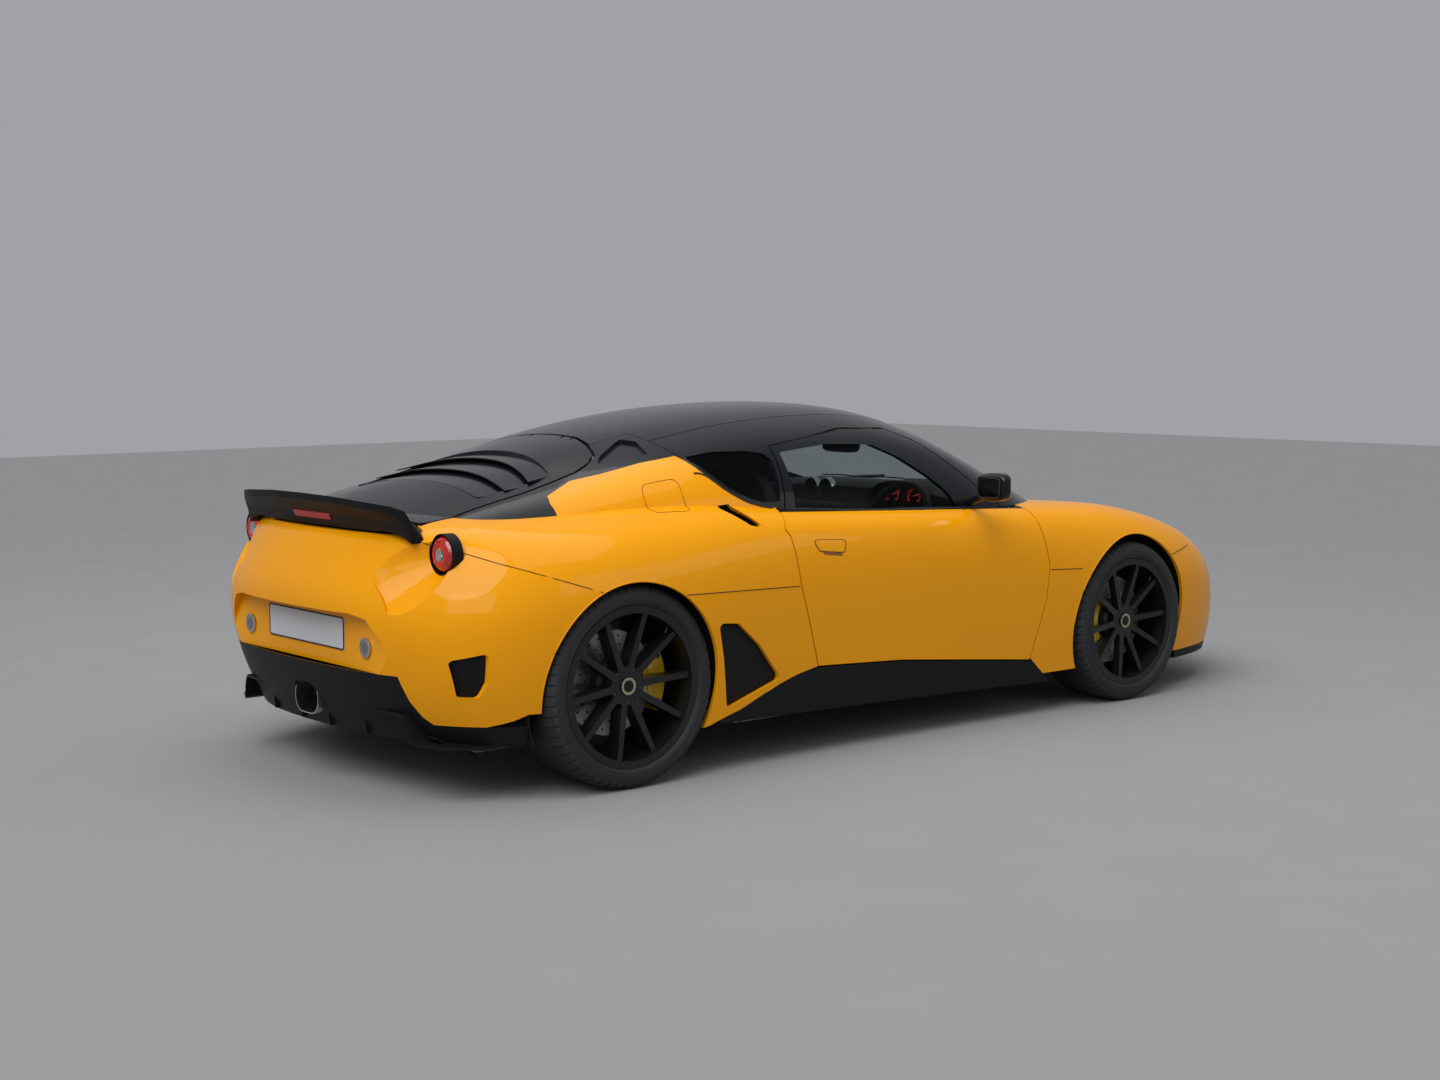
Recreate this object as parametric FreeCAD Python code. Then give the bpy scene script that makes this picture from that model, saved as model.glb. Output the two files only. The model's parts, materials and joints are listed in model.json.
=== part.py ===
import FreeCAD, Part
import math
import os

Vec = FreeCAD.Vector

# overall size, millimetres
body_length = 4390.0
body_width = 1845.0
wheelbase = 2575.0
front_overhang = 1020.0
hem_height = 110.0
floor_height = 130.0
floor_thickness = 35.0

# wheels and tyres
front_tyre_radius = 327.0
front_tyre_width = 245.0
rear_tyre_radius = 342.5
rear_tyre_width = 295.0
front_wheel_y = 762.5
rear_wheel_y = 757.5
front_rim_radius = 258.5
rear_rim_radius = 271.5
flange_height = 17.5
barrel_wall = 8.0
spoke_pairs = 5
spoke_spread = 17.0
spoke_turn = 13.0
lug_count = 5
lug_circle = 57.0
spindle_radius = 20.0
running_gap = 0.05
disc_radius = 178.0
disc_thickness = 28.0

# steering
kingpin_y = 700.0
ball_offset = 125.0
ball_radius = 14.0

# panels
skin = 16.0
roof_skin = 22.0
glass_thickness = 5.0
shut_gap = 5.5
door_wall_y = 745.0
arch_gap_front = 35.0
arch_gap_rear = 9.5
front_well_radius = 400.0
rear_well_radius = 382.0
front_bay_half = 430.0
rear_bay_half = 575.0
liner = 4.0

# cabin
firewall_x_from_axle = -445.0
bulkhead_x_from_axle = 590.0
jack_pad_radius = 35.0
jack_pad_depth = 10.0
jack_pad_y = 560.0
plate_width = 520.0
plate_height = 110.0
plate_thickness = 3.0
plate_centre_z = 520.0
plate_recess_x = -2117.0
lamp_radius = 62.5
lamp_y = 641.0
lamp_z = 803.0
lamp_face_x = -1985.0
scoop_seat = 6.0
scoop_depth = 140.0
scoop_spread = 150.0
scoop_top = 868.0
scoop_wall = 12.0
reversing_lamp_radius = 30.0
reversing_lamp_y = 400.0
reversing_lamp_z = 490.0
hinge_pin_radius = 4.0
lug_radius = 8.0
lug_thickness = 8.0
lug_room = 3.0
bonnet_pivot = (1090.0, 792.0)
bonnet_hinge_span = (300.0, 360.0)
bonnet_gap = 8.5
tailgate_pivot = (-1112.0, 1120.0)
tailgate_hinge_span = (96.0, 164.0)
tailgate_gap = 14.5
tailgate_end_from_tail = 255.0
exhaust_height = 277.0
exhaust_half_width = 80.0
exhaust_half_height = 56.0

half_width = body_width / 2
nose_x = body_length / 2
tail_x = -body_length / 2
front_axle_x = nose_x - front_overhang
rear_axle_x = front_axle_x - wheelbase
hem = hem_height
far = 2400.0
out = body_width
past = -80.0

# lower body: every station holds its datum and the points of its section,
# from the hem up to the top, as distance from the datum, half width, height
body_stations = [
    (tail_x, [(160, 300, hem), (72, 300, 280), (22, 300, 450), (-18, 300, 640),
              (50, 290, 775), (92, 285, 878), (300, 250, 908)]),
    (tail_x, [(225, 560, hem), (128, 575, 280), (68, 588, 450), (60, 590, 640),
              (160, 563, 798), (185, 545, 888), (350, 395, 912)]),
    (tail_x, [(355, 765, hem), (268, 790, 280), (222, 815, 460), (224, 818, 640),
              (285, 744, 808), (325, 676, 888), (470, 440, 920)]),
    (rear_axle_x, [(-270, 850, hem), (-350, 880, 280), (-370, 912, 460), (-380, 915, 640),
                   (-350, 868, 795), (-320, 740, 882), (-200, 460, 925)]),
    (rear_axle_x, [(0, 880, hem), (0, 915, 290), (0, 940, 480), (0, 942, 650),
                   (0, 895, 805), (0, 755, 900), (0, 490, 945)]),
    (rear_axle_x, [(400, 870, hem), (400, 900, 290), (400, 918, 480), (400, 920, 650),
                   (400, 890, 805), (400, 790, 925), (400, 520, 975)]),
    (rear_axle_x, [(780, 850, hem), (780, 872, 290), (780, 886, 480), (780, 892, 650),
                   (780, 880, 800), (780, 815, 895), (780, 560, 915)]),
    (front_axle_x, [(-1225, 840, hem), (-1225, 862, 290), (-1225, 878, 480), (-1225, 890, 640),
                    (-1225, 882, 780), (-1225, 820, 868), (-1225, 560, 885)]),
    (front_axle_x, [(-655, 840, hem), (-655, 865, 290), (-655, 886, 480), (-655, 898, 630),
                    (-655, 882, 765), (-655, 800, 850), (-655, 540, 850)]),
    (front_axle_x, [(-325, 850, hem), (-325, 875, 280), (-325, 902, 470), (-325, 908, 620),
                    (-325, 878, 765), (-325, 760, 842), (-325, 480, 820)]),
    (front_axle_x, [(0, 850, hem), (0, 880, 280), (0, 914, 460), (0, 918, 600),
                    (0, 870, 750), (0, 725, 830), (0, 430, 795)]),
    (front_axle_x, [(345, 810, hem), (345, 845, 270), (345, 878, 430), (345, 878, 560),
                    (345, 835, 680), (345, 690, 755), (345, 400, 735)]),
    (nose_x, [(-352, 740, hem), (-340, 775, 230), (-340, 788, 370), (-350, 780, 490),
              (-390, 735, 600), (-450, 630, 675), (-490, 370, 680)]),
    (nose_x, [(-148, 560, hem), (-106, 575, 220), (-95, 565, 350), (-126, 565, 470),
              (-198, 535, 570), (-290, 480, 635), (-360, 330, 645)]),
    (nose_x, [(-52, 300, hem), (2, 290, 220), (13, 280, 350), (-8, 280, 460),
              (-76, 270, 560), (-188, 260, 630), (-290, 240, 650)]),
]

# greenhouse: datum, distance from it, then half width and height up to the roof
canopy_base = 450.0
canopy_stations = [
    (tail_x, 225, [(560, 700), (560, 790), (555, 815), (540, 835), (500, 848), (380, 862), (200, 870)]),
    (tail_x, 345, [(600, 700), (595, 800), (588, 850), (565, 878), (510, 898), (380, 916), (200, 928)]),
    (rear_axle_x, -250, [(660, 700), (655, 815), (642, 880), (600, 920), (525, 945), (390, 963), (200, 1000)]),
    (rear_axle_x, 0, [(690, 700), (686, 835), (668, 915), (622, 962), (545, 990), (400, 1020), (200, 1066)]),
    (rear_axle_x, 250, [(730, 700), (725, 850), (700, 950), (648, 1018), (572, 1052), (400, 1090), (200, 1128)]),
    (rear_axle_x, 500, [(765, 700), (760, 860), (725, 975), (660, 1060), (580, 1106), (400, 1150), (200, 1180)]),
    (rear_axle_x, 800, [(790, 700), (790, 870), (745, 990), (668, 1085), (585, 1138), (400, 1195), (200, 1222)]),
    (rear_axle_x, 1100, [(800, 700), (803, 868), (752, 992), (672, 1092), (587, 1150), (400, 1214), (200, 1240)]),
    (front_axle_x, -1175, [(800, 700), (803, 858), (752, 985), (670, 1088), (587, 1147), (400, 1214), (200, 1240)]),
    (front_axle_x, -925, [(795, 700), (800, 846), (755, 950), (688, 1035), (603, 1094), (400, 1165), (200, 1195)]),
    (front_axle_x, -725, [(790, 690), (792, 815), (760, 880), (705, 945), (615, 1009), (410, 1085), (200, 1124)]),
    (front_axle_x, -525, [(780, 660), (782, 770), (755, 810), (705, 855), (620, 915), (420, 997), (210, 1040)]),
    (front_axle_x, -325, [(770, 600), (772, 700), (745, 740), (690, 780), (605, 825), (415, 895), (205, 932)]),
    (front_axle_x, -125, [(760, 540), (762, 620), (735, 655), (675, 690), (590, 730), (405, 790), (200, 820)]),
    (front_axle_x, 25, [(750, 500), (752, 560), (725, 590), (665, 620), (580, 655), (400, 710), (200, 735)]),
]


# plain shapes

def box(x0, x1, y0, y1, z0, z1):
    return Part.makeBox(x1 - x0, y1 - y0, z1 - z0, Vec(x0, y0, z0))


def rod(start, end, radius):
    along = end - start
    return Part.makeCylinder(radius, along.Length, start, along)


def fused(shapes):
    result = shapes[0]
    if len(shapes) > 1:
        result = result.fuse(shapes[1:])
    return result.removeSplitter()


def flipped(shape):
    return shape.mirror(Vec(0, 0, 0), Vec(0, 1, 0))


def whole(half):
    return fused([half, flipped(half)])


def pair(shape):
    return Part.makeCompound(shape.Solids + flipped(shape).Solids)


# outlines: corners rounded with arcs, and grown or shrunk by a distance

def grown(points, distance):
    count = len(points)
    area = sum(points[i][0] * points[(i + 1) % count][1] - points[(i + 1) % count][0] * points[i][1]
               for i in range(count))
    side = distance if area > 0 else -distance
    result = []
    for i in range(count):
        before, here, after = points[i - 1], points[i], points[(i + 1) % count]
        ax, ay = here[0] - before[0], here[1] - before[1]
        bx, by = after[0] - here[0], after[1] - here[1]
        la, lb = math.hypot(ax, ay), math.hypot(bx, by)
        nax, nay, nbx, nby = ay / la, -ax / la, by / lb, -bx / lb
        scale = side / (1 + nax * nbx + nay * nby)
        result.append((here[0] + (nax + nbx) * scale, here[1] + (nay + nby) * scale))
    return result


def rounded_wire(points, radius):
    count = len(points)
    edges = []
    joints = []
    for i in range(count):
        here = points[i]
        to_before = points[i - 1] - here
        to_after = points[(i + 1) % count] - here
        half_angle = to_before.getAngle(to_after) / 2
        reach = radius / max(math.tan(half_angle), 0.01)
        reach = min(reach, to_before.Length * 0.45, to_after.Length * 0.45)
        if radius == 0 or half_angle > 1.55:
            joints.append((here, here, here))
            continue
        start = here + to_before.normalize() * reach
        end = here + to_after.normalize() * reach
        arc_radius = reach * math.tan(half_angle)
        bisector = (to_before + to_after).normalize()
        middle = here + bisector * (arc_radius / math.sin(half_angle) - arc_radius)
        joints.append((start, middle, end))
    for i in range(count):
        start, middle, end = joints[i]
        if (end - start).Length > 1e-6:
            edges.append(Part.Arc(start, middle, end).toShape())
        following = joints[(i + 1) % count][0]
        if (following - end).Length > 1e-6:
            edges.append(Part.makeLine(end, following))
    return Part.Wire(edges)


def side_prism(points, y0=0.0, y1=out, radius=0.0):
    wire = rounded_wire([Vec(x, y0, z) for x, z in points], radius)
    return Part.Face(wire).extrude(Vec(0, y1 - y0, 0))


def plan_prism(points, z0=0.0, z1=2000.0, radius=0.0):
    wire = rounded_wire([Vec(x, y, z0) for x, y in points], radius)
    return Part.Face(wire).extrude(Vec(0, 0, z1 - z0))


def end_prism(points, x0, x1, radius=0.0):
    wire = rounded_wire([Vec(x0, y, z) for y, z in points], radius)
    return Part.Face(wire).extrude(Vec(x1 - x0, 0, 0))


# form surfaces: one smooth skin through the stations, closed to a half solid

def knot_line(count):
    inner = count - 3
    values = [float(k) for k in range(inner + 1)]
    return values, [4] + [1] * (inner - 1) + [4]


def smooth_face(rows):
    along, along_mults = knot_line(len(rows))
    across, across_mults = knot_line(len(rows[0]))
    form = Part.BSplineSurface()
    form.buildFromPolesMultsKnots(rows, along_mults, across_mults, along, across, False, False, 3, 3)
    return form.toShape()


def inset_rows(rows, distance, keep_ends):
    if distance == 0:
        return rows
    result = []
    last = len(rows) - 1
    width = len(rows[0]) - 1
    for i, row in enumerate(rows):
        moved = []
        for j, here in enumerate(row):
            along = rows[min(i + 1, last)][j] - rows[max(i - 1, 0)][j]
            across = row[min(j + 1, width)] - row[max(j - 1, 0)]
            normal = along.cross(across)
            if normal.Length < 1e-9:
                normal = Vec(0, 1, 0)
            normal.normalize()
            if j >= width - 1:
                normal.y = 0
            if j == 0:
                normal.z = 0
            if keep_ends:
                normal.x = 0
            elif i in (0, last):
                normal.y = 0
            if normal.Length > 1e-9:
                normal.normalize()
            place = here + normal * distance
            if here.y == 0:
                place.y = 0
            moved.append(place)
        result.append(moved)
    return result


def body_rows():
    rows = []
    for datum, points in body_stations:
        row = [Vec(datum + dx, y, z) for dx, y, z in points]
        rows.append(row + [Vec(row[-1].x, 0, row[-1].z)])
    first = [Vec(p.x, 0, p.z) for p in rows[0]]
    first[-2] = Vec(rows[0][-1].x - 60, 0, rows[0][-1].z - 12)
    first[-1] = Vec(rows[0][-1].x - 60, 0, rows[0][-1].z - 8)
    final = [Vec(p.x, 0, p.z) for p in rows[-1]]
    final[-2] = Vec(rows[-1][-1].x + 40, 0, rows[-1][-1].z - 8)
    final[-1] = Vec(rows[-1][-1].x + 40, 0, rows[-1][-1].z - 6)
    return [first] + rows + [final]


def canopy_rows():
    rows = []
    for datum, dx, points in canopy_stations:
        row = [Vec(datum + dx, points[0][0], canopy_base)]
        row += [Vec(datum + dx, y, z) for y, z in points]
        rows.append(row + [Vec(row[-1].x, 0, row[-1].z)])
    return rows


def closed_half(face, x_ends):
    middle = []
    bottom = []
    caps = {}
    for edge in face.Edges:
        size = edge.BoundBox
        if size.YLength < 1e-6:
            middle.append(edge)
        elif size.ZLength < 1e-6:
            bottom.append(edge)
        else:
            caps.setdefault(round(size.XMin), []).append(edge)
    low = bottom[0].BoundBox
    near = [v.Point for v in bottom[0].Vertexes]
    near.sort(key=lambda p: p.x)
    start = Vec(near[0].x, 0, low.ZMin)
    end = Vec(near[-1].x, 0, low.ZMin)
    base_line = Part.makeLine(start, end)
    middle.append(base_line)
    bottom.append(base_line)
    faces = [face]
    if x_ends:
        for point in (near[0], near[-1]):
            edges = caps[round(point.x)]
            foot = Vec(point.x, 0, low.ZMin)
            ground = Part.makeLine(point, foot)
            top = max((v.Point for v in edges[0].Vertexes), key=lambda p: p.z)
            riser = Part.makeLine(foot, top)
            faces.append(Part.Face(Part.Wire(Part.__sortEdges__(edges + [ground, riser]))))
            bottom.append(ground)
            middle.append(riser)
    faces.append(Part.Face(Part.Wire(Part.__sortEdges__(middle))))
    faces.append(Part.Face(Part.Wire(Part.__sortEdges__(bottom))))
    shell = Part.makeShell(faces)
    shell.sewShape()
    solid = Part.makeSolid(shell)
    if solid.Volume < 0:
        solid.reverse()
    return solid


made_forms = {}


def body_form(inset=0.0):
    key = ("body", inset)
    if key not in made_forms:
        made_forms[key] = closed_half(smooth_face(inset_rows(body_rows(), inset, False)), False)
    return made_forms[key]


def canopy_form(inset=0.0):
    key = ("canopy", inset)
    if key not in made_forms:
        made_forms[key] = closed_half(smooth_face(inset_rows(canopy_rows(), inset, True)), True)
    return made_forms[key]


def full_form(inset=0.0):
    key = ("full", inset)
    if key not in made_forms:
        made_forms[key] = body_form(inset).fuse(canopy_form(inset))
    return made_forms[key]


def lower_skin(outside=0.0, inside=skin):
    return body_form(outside).cut(body_form(inside)).cut(canopy_form(roof_skin))


def upper_skin(outside=0.0, inside=roof_skin):
    return canopy_form(outside).cut(canopy_form(inside)).cut(body_form())


# side view outlines

def front_x(distance):
    return front_axle_x + distance


def rear_x(distance):
    return rear_axle_x + distance


def door_outline():
    return [(rear_x(742), 1000), (rear_x(740), 888), (rear_x(700), 822), (rear_x(714), 797),
            (rear_x(744), 622), (rear_x(842), 325), (rear_x(1270), 302), (front_x(-602), 230),
            (front_x(-540), 459), (front_x(-532), 597), (front_x(-560), 739), (front_x(-600), 1000)]


def frame_outline():
    return [(rear_x(770), 860), (rear_x(815), 1098), (rear_x(1220), 1148), (front_x(-1110), 1140),
            (front_x(-1000), 1092), (front_x(-900), 1006), (front_x(-790), 915), (front_x(-700), 850),
            (front_x(-660), 780), (rear_x(770), 780)]


def door_glass_outline():
    return [(rear_x(805), 700), (rear_x(836), 1078), (rear_x(942), 1088), (rear_x(1082), 1099),
            (rear_x(1244), 1094), (rear_x(1302), 1088), (front_x(-1172), 1041), (front_x(-1051), 960),
            (front_x(-975), 900), (front_x(-945), 845), (front_x(-940), 700)]


def quarter_glass_outline():
    return [(rear_x(758), 912), (rear_x(784), 1052), (rear_x(762), 1078), (rear_x(698), 1087),
            (rear_x(558), 1088), (rear_x(436), 1072), (rear_x(470), 1042), (rear_x(510), 1002),
            (rear_x(556), 966), (rear_x(622), 928), (rear_x(690), 908)]


def quarter_outline():
    return [(rear_x(742), 0), (rear_x(742), 888), (rear_x(680), 898), (rear_x(612), 918),
            (rear_x(542), 959), (rear_x(497), 994), (rear_x(459), 1032), (rear_x(420), 1078),
            (rear_x(286), 1058), (rear_x(131), 1025), (rear_x(24), 1005), (rear_x(-106), 962),
            (rear_x(-125), 940), (rear_x(-125), 0)]


def pod_outline():
    return [(rear_x(200), 636), (rear_x(744), 621), (rear_x(842), 325), (rear_x(740), 306), (rear_x(667), 285),
            (rear_x(569), 250), (rear_x(473), 212), (rear_x(401), 193), (rear_x(334), 172), (rear_x(200), 150)]


def pod_vent_outline():
    return [(rear_x(345), 527), (rear_x(440), 517), (rear_x(544), 431), (rear_x(657), 301),
            (rear_x(405), 222), (rear_x(375), 397)]


def inlet_outline():
    return [(rear_x(480), 900), (rear_x(487), 908), (rear_x(534), 912), (rear_x(557), 880),
            (rear_x(608), 830), (rear_x(548), 843)]


def sill_outline():
    return [(rear_x(380), 172), (rear_x(380), 196), (rear_x(473), 222), (rear_x(569), 262), (rear_x(667), 298),
            (rear_x(860), 340), (rear_x(1270), 320), (front_x(-602), 240), (front_x(-470), 128), (rear_x(450), 170)]


def bumper_outline():
    return [(rear_x(0), 640), (rear_x(-147), 674), (rear_x(-334), 736), (rear_x(-457), 778),
            (rear_x(-539), 813), (rear_x(-620), 845), (-far, 845), (-far, 250), (rear_x(-503), 250),
            (rear_x(-429), 273), (rear_x(-389), 292), (rear_x(0), 292)]


# plan view outlines

def hatch_outline():
    return [(rear_x(300), past), (rear_x(290), 160), (rear_x(252), 290), (rear_x(212), 382),
            (rear_x(150), 432), (rear_x(80), 458), (rear_x(-150), 478), (rear_x(-350), 470),
            (tail_x + tailgate_end_from_tail, 468), (tail_x + tailgate_end_from_tail, past)]


def screen_outline():
    return [(front_x(-740), past), (front_x(-760), 250), (front_x(-860), 520), (front_x(-760), 575),
            (front_x(-560), 655), (front_x(-380), 610), (front_x(-230), 400), (front_x(-175), 200),
            (front_x(-170), past)]


def bonnet_outline():
    return [(front_x(-95), past), (front_x(-100), 250), (front_x(-150), 470), (front_x(150), 470),
            (front_x(470), 350), (front_x(545), 200), (front_x(560), past)]


def headlamp_outline():
    return [(front_x(130), 700), (front_x(330), 560), (front_x(520), 520), (front_x(640), 590),
            (front_x(560), 680), (front_x(380), 740)]


def mouth_outline():
    return [(past, 215), (390, 215), (430, 330), (370, 400), (past, 410)]


def side_intake_outline():
    return [(500, 215), (690, 225), (715, 370), (560, 400), (470, 330)]


# wheel openings

def arch_cut(front, extra=0.0):
    x = front_axle_x if front else rear_axle_x
    z = front_tyre_radius if front else rear_tyre_radius
    gap = arch_gap_front if front else arch_gap_rear
    inner = front_bay_half if front else rear_bay_half
    return rod(Vec(x, inner, z), Vec(x, out, z), z + gap + extra)


def well_cut(front):
    x = front_axle_x if front else rear_axle_x
    z = front_tyre_radius if front else rear_tyre_radius
    radius = front_well_radius if front else rear_well_radius
    inner = front_bay_half if front else rear_bay_half
    return rod(Vec(x, inner, z), Vec(x, out, z), radius)


# lid hinges: pins on lugs of the fixed side, bores and notches in the lid

def hinge_parts(pivot, span, reach):
    x, z = pivot
    pieces = [rod(Vec(x, span[0], z), Vec(x, span[1], z), hinge_pin_radius)]
    for y in (span[0], span[1] - lug_thickness):
        pieces.append(rod(Vec(x, y, z), Vec(x, y + lug_thickness, z), lug_radius))
        pieces.append(box(min(x, x + reach), max(x, x + reach), y, y + lug_thickness, z - lug_radius, z + 3))
    return pieces


def hinge_room(pivot, span, reach):
    x, z = pivot
    behind = -15.0 if reach > 0 else 15.0
    room = [rod(Vec(x, span[0], z), Vec(x, span[1], z), hinge_pin_radius + running_gap)]
    for y in (span[0], span[1] - lug_thickness):
        room.append(box(min(x + behind, x + reach), max(x + behind, x + reach),
                        y - lug_room, y + lug_thickness + lug_room, z - 60, z + 60))
    return room


# body panels

def front_clam():
    form = lower_skin().common(box(front_x(-620), far, 0, out, 165, 1100))
    form = form.cut(side_prism(grown(door_outline(), shut_gap)))
    form = form.cut(plan_prism(grown(bonnet_outline(), bonnet_gap), 300, 1200, 40).common(
        box(-far, far, 0, out, 300, 1200)))
    form = form.cut(plan_prism(headlamp_outline(), 420, 1000, 25))
    form = form.cut(end_prism(mouth_outline(), front_x(700), far, 20))
    form = form.cut(end_prism(side_intake_outline(), front_x(560), far, 20))
    form = form.cut(arch_cut(True))
    form = form.cut(side_prism(sill_outline()))
    form = form.cut(canopy_form().common(plan_prism(screen_outline(), 600, 1300)))
    return whole(biggest(fused([biggest(form)] + hinge_parts(bonnet_pivot, bonnet_hinge_span, -34))))


def biggest(shape):
    return max(shape.Solids, key=lambda s: s.Volume)


def bonnet():
    form = lower_skin().cut(canopy_form()).common(plan_prism(bonnet_outline(), 300, 1200, 40))
    return whole(biggest(form.cut(hinge_room(bonnet_pivot, bonnet_hinge_span, -34))))


def headlamps():
    lens = body_form(1.0).cut(body_form(skin)).common(plan_prism(headlamp_outline(), 420, 1000, 25))
    return pair(biggest(lens))


def front_grille():
    mesh = body_form(skin).cut(body_form(skin + 8))
    middle = mesh.common(end_prism(grown(mouth_outline(), 8), front_x(700), far, 20))
    middle = middle.common(box(-far, far, 0, out, 0, 1000))
    side = mesh.common(end_prism(grown(side_intake_outline(), 8), front_x(560), far, 20))
    side = side.cut(arch_cut(True, 10))
    return Part.makeCompound(whole(biggest(middle)).Solids + pair(biggest(side)).Solids)


def front_splitter():
    form = body_form().common(box(front_x(370), far, 0, out, floor_height, 165))
    form = form.cut(well_cut(True))
    form = form.cut(box(-far, front_x(600), 0, front_bay_half, 0, 400))
    return whole(biggest(form))


def quarter_panels():
    zone = side_prism(quarter_outline())
    rear = box(-far, rear_x(-125), 0, out, 0, 1100).cut(canopy_form())
    form = full_form().cut(full_form(skin)).common(zone.fuse(rear))
    form = form.cut(side_prism(grown(door_outline(), shut_gap)))
    form = form.cut(side_prism(grown(frame_outline(), shut_gap)))
    form = form.cut(side_prism(quarter_glass_outline(), 0, out, 12))
    form = form.cut(side_prism(pod_outline()))
    form = form.cut(side_prism(bumper_outline()))
    form = form.cut(box(-far, rear_x(-440), 0, 615, 0, 1100))
    form = form.cut(spoiler_cutout())
    form = form.cut(arch_cut(False))
    form = form.cut(tail_lamp_round(lamp_radius + 5))
    form = form.cut(side_prism(inlet_outline(), 650, out, 6))
    form = form.cut(box(-far, far, 0, 480, 0, 2000))
    return pair(biggest(form))


def side_pods():
    form = lower_skin().common(side_prism(pod_outline()))
    form = form.cut(side_prism(grown(door_outline(), shut_gap)))
    form = form.cut(arch_cut(False))
    form = form.cut(side_prism(pod_vent_outline(), 0, out, 18))
    return pair(biggest(form))


def vent_insert(outline, y0):
    form = body_form(skin).cut(body_form(skin + 8)).common(side_prism(grown(outline, 7), y0, out, 14))
    return biggest(form)


def side_vents():
    inlet = full_form(skin).cut(full_form(skin + 20)).common(side_prism(grown(inlet_outline(), 9), 650, out))
    inlet = biggest(inlet.cut(side_prism(inlet_outline(), 650, out, 6).cut(full_form(skin + 14))))
    pod_insert = biggest(vent_insert(pod_vent_outline(), 0).cut(rear_well_ring()))
    pieces = [pod_insert, vent_insert(bumper_vent_outline(), 600), inlet]
    return Part.makeCompound([solid for piece in pieces for solid in pair(piece).Solids])


def rear_well_ring():
    axis = Vec(rear_axle_x, rear_bay_half, rear_tyre_radius)
    return rod(axis, axis + Vec(0, out, 0), rear_well_radius + liner + 0.3)


def sills():
    form = body_form().common(side_prism(sill_outline(), door_wall_y, out))
    form = form.cut(side_prism(grown(door_outline(), shut_gap)))
    form = form.cut(arch_cut(False)).cut(arch_cut(True)).cut(well_cut(True)).cut(well_cut(False))
    form = form.cut(side_prism(pod_outline()))
    return pair(biggest(form))


def tail_lamp_round(radius, start=-200.0, depth=50.0):
    return rod(Vec(lamp_face_x + start, lamp_y, lamp_z), Vec(lamp_face_x + depth, lamp_y, lamp_z), radius)


def tail_lamps():
    rim_r = lamp_radius
    points = [(0, 6), (22, 6), (26, 0), (38, 0), (52, 8), (rim_r, 26), (rim_r, 50), (0, 50)]
    lens = turned([(r, y) for r, y in points])
    lens.rotate(Vec(0, 0, 0), Vec(0, 0, 1), -90)
    lens.translate(Vec(lamp_face_x, lamp_y, lamp_z))
    return pair(lens)


def lamp_scoop(grow=0.0):
    start = Vec(lamp_face_x + scoop_seat, lamp_y, lamp_z)
    radius = lamp_radius + 4 + grow
    cone = Part.makeCone(radius, radius + scoop_spread, scoop_depth, start, Vec(-1, 0, 0))
    return cone.common(box(-far, far, 0, out, 0, scoop_top + grow))


def scooped(panel):
    wall = lamp_scoop(scoop_wall).cut(lamp_scoop()).common(body_form())
    return fused([panel.cut(lamp_scoop()), wall])


def lamp_bezels():
    tube = tail_lamp_round(lamp_radius + 4.8, 10, 50).cut(tail_lamp_round(lamp_radius + 0.3, 5, 60.3))
    return pair(tube)


def diffuser_points():
    return [(past, 60), (out, 60), (out, 252), (621, 252), (594, 277), (569, 329), (553, 411), (past, 411)]


def plate_recess_points():
    return [(past, 411), (549, 411), (511, 528), (452, 590), (375, 604), (past, 604)]


def spoiler_cutout():
    points = [(past, 856), (430, 857), (520, 866), (570, 880), (585, 900), (585, 1100), (past, 1100)]
    return end_prism(points, -far, far, 10).common(plan_prism(grown(spoiler_outline(), shut_gap), 500, 1100))


def spoiler_outline():
    front = tail_x + tailgate_end_from_tail
    return [(front, past), (front, 380), (front - 12, 440), (front - 30, 510), (front - 46, 552),
            (front - 60, 566), (-far, 566), (-far, past)]


def rear_bumper():
    form = scooped(lower_skin()).common(box(-far, rear_x(-60), 0, out, 200, 1000))
    form = fused([form.common(side_prism(bumper_outline())),
                  form.common(box(-far, rear_x(-440), 0, 614, 400, 1000))])
    form = form.cut(plan_prism(grown(hatch_outline(), shut_gap + 6)))
    form = form.cut(arch_cut(False))
    form = form.cut(end_prism(diffuser_points(), -far, rear_x(-300)))
    form = form.cut(tail_lamp_round(lamp_radius + 5))
    form = form.cut(spoiler_cutout())
    form = form.cut(side_prism(bumper_vent_outline(), 600, out, 14))
    form = form.cut(end_prism(plate_recess_points(), -far, plate_recess_x, 20))
    lamp_hole = rod(Vec(-far, reversing_lamp_y, reversing_lamp_z),
                    Vec(0, reversing_lamp_y, reversing_lamp_z), reversing_lamp_radius + 0.3)
    pan = body_form().common(end_prism(grown(plate_recess_points(), 5), -far, plate_recess_x + 5, 22))
    pan = pan.cut(end_prism(plate_recess_points(), -far, plate_recess_x, 20)).cut(lamp_hole)
    pan = pan.cut(end_prism(diffuser_points(), -far, rear_x(-300)))
    return whole(biggest(fused([biggest(form), biggest(pan)])))


def bumper_vent_outline():
    return [(rear_x(-615), 473), (rear_x(-520), 500), (rear_x(-516), 403), (rear_x(-530), 352),
            (rear_x(-582), 353)]


def reversing_lamps():
    place = Vec(plate_recess_x, reversing_lamp_y, reversing_lamp_z)
    return pair(rod(place - Vec(6, 0, 0), place + Vec(12, 0, 0), reversing_lamp_radius))


def number_plate():
    low = plate_centre_z - plate_height / 2
    return box(plate_recess_x - plate_thickness, plate_recess_x, -plate_width / 2, plate_width / 2,
               low, low + plate_height)


def blade_points(drop=0.0):
    top = [(past, 284), (528, 284), (546, 274), (572, 204), (592, 194), (690, 190), (775, 186)]
    return top + [(y, z - 10 - drop) for y, z in reversed(top)]


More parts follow.
